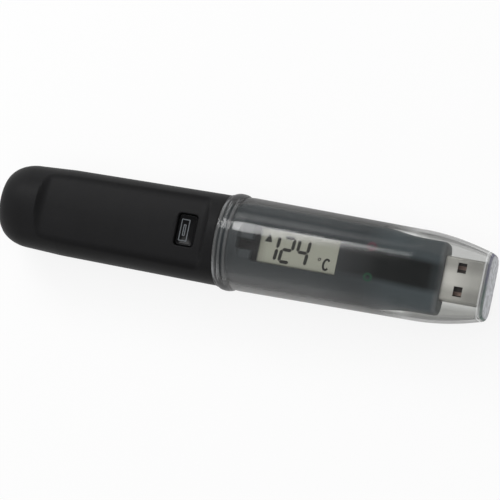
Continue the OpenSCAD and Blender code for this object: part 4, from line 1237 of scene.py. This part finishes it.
cap_values = {"Columns": CAP_COLUMNS, "Flat start": flat_start * MM, "Length": CAP_LEN * MM,
    "Round radius": CAP_R_END * MM, "Tip half width": TIP_W / 2 * MM, "Tip half height": TIP_H / 2 * MM,
    "Width bend": BEND_W, "Height bend": BEND_H, "Tip squareness": TIP_SQUARE, "Finish": clear()}
# The closing share isn't a length, so it is divided by the millimetre that mesh_of multiplies by.
profile_points = [(x, inset, closing / MM) for x, inset, closing in profile]
profile_edges = [(i, i + 1) for i in range(len(profile) - 1)]
line = mesh_of("cap_profile", profile_points, profile_edges)
cap = grown("cap_shell", line, bent_shell_tree(cap_values), cap_values)
cap_volume = face_out(cap.data, 0.0001)
smooth(cap.data, 28)
dress(cap, "cap", ["cap"])
print("cap, cubic millimetres", round(cap_volume))

# %% [markdown]
# The pins of the display frame, the lamps and the plug end under the board, in solder joints. One joint
# is modelled: solder climbs a pin in a hollow curve, and the pin's tip stands out of it.

# %% One solder joint and its places
JOINT_R = 0.78
JOINT_RISE = 0.55
JOINT_STEPS = 5
JOINT_SIDES = 10
PIN_R = 0.26
PIN_OUT = 0.85
PIN_CHAMFER = 0.08
FRAME_ROW_Y = 5.4
PIN_STEP = 2.54
FRAME_ROW_COUNT = 11
PLUG_PIN_X = 1.6
PLUG_PINS = (-3.5, -1.0, 1.0, 3.5)


def joint_rings():
    """One joint that hangs from nought downwards, from its foot to the pin's tip."""
    steps = np.linspace(0, 1, JOINT_STEPS)
    outline = [(-JOINT_RISE * s, PIN_R + (JOINT_R - PIN_R) * (1 - s) ** 2) for s in steps]
    outline += [(-PIN_OUT + PIN_CHAMFER, PIN_R), (-PIN_OUT, PIN_R - PIN_CHAMFER)]
    turns = [2 * math.pi * i / JOINT_SIDES for i in range(JOINT_SIDES)]
    rings = [[(r * math.cos(t), r * math.sin(t), z) for t in turns] for z, r in outline]
    return [[(0, 0, 0)]] + rings + [[(0, 0, -PIN_OUT)]]


def joint_places():
    """Points on the board's underside where a pin comes through."""
    under = board_low[2]
    low, high = corners("display_frame")
    middle = (low[1] + high[1]) / 2
    first = (low[0] + high[0] - PIN_STEP * (FRAME_ROW_COUNT - 1)) / 2
    places = [(first + PIN_STEP * i, middle + side * FRAME_ROW_Y, under)
        for i in range(FRAME_ROW_COUNT) for side in (-1, 1)]
    for node, _, _ in LAMPS:
        low, high = corners(node)
        x = (low[0] + high[0]) / 2
        places += [(x + side * PIN_STEP / 2, (low[1] + high[1]) / 2, under) for side in (-1, 1)]
    return places + [(board_high[0] - PLUG_PIN_X, plug_y + across, under) for across in PLUG_PINS]


places = joint_places()

# %% [markdown]
# Geometry Nodes put a copy of the joint on every point of the list, turn each by chance and vary its
# size a little, as hand soldering does. The seed is fixed, so every run gives the same joints.

# %% Solder joints under the board
def scattered_tree(values):
    """The tree: a copy of a piece on every point, turned and sized by chance with a fixed seed."""
    tree, s, (points, held, seed, spread, finish) = recipe("scattered", values)
    piece = s.node("GeometryNodeObjectInfo", None, {"Object": held}, out="Geometry")

    def chance(low, high, seed):
        """A random number for each point."""
        return s.node("FunctionNodeRandomValue", {"data_type": "FLOAT"},
            {"Min_001": low, "Max_001": high, "Seed": seed}, out="Value_001")

    turned = s.node("ShaderNodeCombineXYZ", None, {2: chance(0.0, 2 * math.pi, seed)})
    copies = s.node("GeometryNodeInstanceOnPoints", None, {"Points": points, "Instance": piece,
        "Rotation": turned, "Scale": chance(1 - spread, 1.0, seed + 1)})
    served(s, copies, finish)
    return tree


solder = metal("solder_tin", (0.62, 0.62, 0.6), 0.3, brushed=0.5)
one_joint = new_piece("one_joint", *skin(joint_rings()), solder, 40)
joint_values = {"Piece": one_joint, "Seed": 7, "Spread": 0.16, "Finish": solder}
joints = grown("solder_joints", mesh_of("joint_places", places), scattered_tree(joint_values), joint_values)
bpy.data.objects.remove(one_joint)
face_out(joints.data)
smooth(joints.data, 40)
dress(joints, "logger")

# %% [markdown]
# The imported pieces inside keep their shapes. Four need finishes of their own: the display's pale
# reflector, the board's lacquer over its tracks, the plug's plating, and the tinted lamps.

# %% Four special finishes
REFLECTOR = ((0.58, 0.585, 0.485), (0.63, 0.635, 0.535))
# Painted shadow of the frame on the reflector, and at its rear end.
REFLECTOR_FRAME_SHADOW = (0.34, 0.345, 0.28)
REFLECTOR_END_SHADOW = (0.04, 0.04, 0.036)
TRACK_PITCH = 1.3
TRACK_WANDER = 1.2
TRACK_EDGE = (0.18, 0.24)
# Painted sheen and shade on the plug: a bright middle band, darker towards the mouth and at the sides.
DIM_FRONT_X = (FRONT_LEN + 3.5, FRONT_LEN + 8.5)
SHEEN_HALF = (1.2, 3.6)


def display_glass():
    """The display's reflector under glass, with painted shadow: darker towards its frame and at its rear end.
    """
    f = Finish("display_grey")
    x, y, _ = f.axes()
    by_end = 1 - x.step(glass_low[0] + 0.3, glass_low[0] + 3.0)
    by_side = 1 - y.step(glass_low[1], glass_low[1] + 1.2)
    rear_end_shadow = 1 - x.step(glass_low[0] + 0.1, glass_low[0] + 0.9)
    shade = f.laid(f.mix(f.noise(0.08, SOFT), *REFLECTOR),
        ((by_end.most(by_side) * 0.7, REFLECTOR_FRAME_SHADOW), (rear_end_shadow, REFLECTOR_END_SHADOW)))
    return f.done(f.plastic({"Base Color": shade, "Roughness": 0.35, "Specular IOR Level": 0.3}))


def solder_mask():
    """Green lacquer over copper tracks, which stand a hair proud."""
    f = Finish("board_green")
    wander = f.axes()[1] * TRACK_PITCH + f.noise(5.0, 0.0) * TRACK_WANDER
    tracks = abs(wander.of("FRACT") - 0.5).step(*TRACK_EDGE)
    shade = f.mix(tracks, (0.006, 0.045, 0.022), (0.012, 0.085, 0.04))
    return f.done(f.plastic({"Base Color": shade, "Roughness": 0.3 + 0.1 * tracks,
        "Normal": f.bump(tracks, 0.03)}))


def plated_plug():
    """Plating on folded steel with painted sheen and shade: brighter along the middle, darker at its sides,
    and darker and rougher towards the plug's mouth.
    """
    f = Finish("plug_nickel")
    x, y, _ = f.axes()
    lines = f.brushed(0.12)
    dim_front = (x + 1.5 * f.noise(STAIN_GRAIN, SOFT)).step(*DIM_FRONT_X)
    side = f.mix(dim_front, (0.44, 0.43, 0.4), (0.32, 0.315, 0.295))
    middle = f.mix(dim_front, (0.68, 0.665, 0.625), (0.46, 0.452, 0.425))
    shade = f.mix(y.near(plug_y, *SHEEN_HALF), side, middle)
    return f.done(f.plastic({"Base Color": shade, "Metallic": 0.35,
        "Roughness": 0.36 + LINE_ROUGH * (lines - 0.5) + 0.1 * dim_front, "Normal": f.bump(lines, 0.004)}))


def lamp(name, colour):
    """A tinted epoxy lamp, unlit."""
    f = Finish(name)
    shade = f.mix(f.noise(0.8, SOFT), colour, [c * 1.35 for c in colour])
    return f.done(f.plastic({"Base Color": shade, "Roughness": 0.15, "Specular IOR Level": 0.6,
        "Alpha": 0.92}))


print("special finishes ready")

# %% [markdown]
# The rest are plain mouldings and plated metals. The seals are rubber and silicone, and the lead
# socket's blades are of two metals, as a sensor's two wires are.

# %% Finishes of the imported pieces
seal_rubber = grained("seal_rubber", (0.05, 0.05, 0.052), 0.6, grain=0.2, depth=0.01)
frame_black = grained("frame_black", (0.012, 0.012, 0.013), 0.6, grain=0.2, depth=0.01)
finishes = {
    "switch_body": grained("switch_grey", (0.14, 0.14, 0.14), 0.5),
    "switch_plunger": grained("switch_black", (0.02, 0.02, 0.02), 0.5),
    "housing_seal": seal_rubber,
    "cap_seal": grained("seal_silicone", (0.09, 0.095, 0.1), 0.5, grain=0.2, depth=0.006, speck=0.12),
    "circuit_board": solder_mask(),
    "controller_chip": grained("chip_black", (0.02, 0.02, 0.02), 0.6, grain=0.1, depth=0.006),
    "memory_chip": grained("chip_black_small", (0.02, 0.02, 0.02), 0.6, grain=0.1, depth=0.006),
    "crystal_can": metal("crystal_steel", (0.6, 0.6, 0.58), 0.3),
    "small_parts": grained("part_ceramic", (0.3, 0.22, 0.16), 0.55, grain=0.15, depth=0.006),
    "display_frame": frame_black,
    "display_glass": display_glass(),
    "display_digits": grained("display_ink", (0.018, 0.017, 0.014), 0.5, grain=0.1, depth=0.002),
    "display_contacts": seal_rubber,
    "lamp_holder": frame_black,
    "alarm_lamp": lamp("lamp_red", (0.55, 0.012, 0.05)),
    "status_lamp": lamp("lamp_green", (0.012, 0.34, 0.12)),
    "plug_shell": plated_plug(),
    # The tongue's near-black and the contacts' brownish gold are partly painted shade, for the shade inside
    # the plug.
    "plug_tongue": grained("tongue_black", (0.05, 0.042, 0.042), 0.5, grain=0.2, depth=0.006, speck=0.2),
    "plug_contacts": metal("contact_gold", (0.33, 0.235, 0.2), 0.4, metallic=0.6),
    "battery_cell": grained("cell_wrap", (0.04, 0.2, 0.14), 0.35, grain=0.6, depth=0.01),
    "battery_carrier": grained("carrier_black", (0.02, 0.02, 0.021), 0.55),
    "battery_spring": metal("spring_steel", (0.6, 0.59, 0.57), 0.25),
    "battery_plate": metal("plate_steel", (0.6, 0.59, 0.57), 0.3),
    "socket_body": grained("socket_black", (0.018, 0.018, 0.02), 0.5, grain=0.18, depth=0.01),
    "socket_blade_wide": metal("blade_yellow", (0.72, 0.55, 0.28), 0.3),
    "socket_blade_narrow": metal("blade_white", (0.66, 0.64, 0.6), 0.3),
}
for node, finish in finishes.items():
    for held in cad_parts[node].material_slots:
        held.material = finish
print("finished nodes", len(finishes))

# %% [markdown]
# The studio is a white floor under a pale sky. The floor is white to the camera and to mirrors, and
# keeps a faint shadow, because a share of it stays an ordinary lit surface. The sky is brighter on the
# near side, so that the cap's two flanks differ.

# %% Floor and sky
FLOOR_HALF = 4000
FLOOR_GLOW = 0.86
PAPER_GRAIN = 300.0
PAPER = ((0.86, 0.86, 0.86), (0.88, 0.88, 0.88))
SKY_RISE = (0.1, 0.7)
SKY_ACROSS = (-0.6, 0.6)
SKY_TOP = (0.2, 0.2, 0.2)
SKY_NEAR = (0.62, 0.62, 0.62)
SKY_FAR = (0.34, 0.34, 0.34)
WHITE = (1, 1, 1)


def white_floor():
    f = Finish("floor_white")
    kinds = ("Is Camera Ray", "Is Glossy Ray", "Is Transmission Ray")
    camera_ray, mirrored, passed = [f.node("ShaderNodeLightPath", out=kind) for kind in kinds]
    seen = camera_ray.most(mirrored).most(passed)
    paper = f.mix(f.noise(PAPER_GRAIN), *PAPER)
    lit = f.plastic({"Base Color": paper, "Roughness": 0.9, "Specular IOR Level": 0.0})
    white = f.node("ShaderNodeEmission", None, {"Color": WHITE, "Strength": 1.0})
    return f.done(f.blend(seen * FLOOR_GLOW, lit, white))


square = [(FLOOR_HALF * x, FLOOR_HALF * y, 0) for x, y in ((-1, -1), (1, -1), (1, 1), (-1, 1))]
floor = new_piece("floor", square, [(0, 1, 2, 3)], white_floor())
floor.location.z = FLOOR_Z

world = bpy.data.worlds.new("studio")
bpy.context.scene.world = world
world.use_nodes = True
world.node_tree.nodes.clear()
sky = Sheet(world.node_tree)
_, across, rise = sky.split(sky.node("ShaderNodeTexCoord", out="Generated"))
light = sky.mix(rise.step(*SKY_RISE), sky.mix(across.step(*SKY_ACROSS), SKY_NEAR, SKY_FAR), SKY_TOP)
light = sky.mix(sky.node("ShaderNodeLightPath", out="Is Camera Ray"), light, WHITE)
background = sky.node("ShaderNodeBackground", None, {"Color": light, "Strength": 1.0})
sky.node("ShaderNodeOutputWorld", None, {"Surface": background})
print("floor at", round(FLOOR_Z / MM, 2))

# %% [markdown]
# A large window high on the far side draws the bright band along the cap and over the display. A dim
# panel lightens the far flank. A wide ceiling, which mirrors don't see, gives the even light that lets
# a colour look as it is written.

# %% Lights
def soft_box(name, lean, far, size, radiance, shift=(0, 0), turn=0):
    """A soft light in a plane that faces the origin from a lean off the zenith, shifted and turned in it."""
    data = bpy.data.lights.new(name, "AREA")
    data.shape = "RECTANGLE"
    data.size = size[0] * MM
    data.size_y = size[1] * MM
    data.energy = radiance * 4 * data.size * data.size_y
    plane = Matrix.Rotation(-math.radians(lean), 4, "X")
    place = Matrix.Translation((shift[0] * MM, shift[1] * MM, far * MM))
    light = placed(name, data)
    light.matrix_world = plane @ place @ Matrix.Rotation(math.radians(turn), 4, "Z")
    print(name, "watts", round(data.energy, 2))
    return light


soft_box("window_light", 43, 600, (500, 250), 4.8, shift=(-358, -45), turn=-15)
soft_box("far_panel", 43, 600, (260, 230), 0.5, shift=(-190, 270))
ceiling = soft_box("ceiling", 0, 1500, (1500, 1500), 1.5)
ceiling.visible_glossy = False
bpy.context.scene.view_settings.view_transform = "Standard"
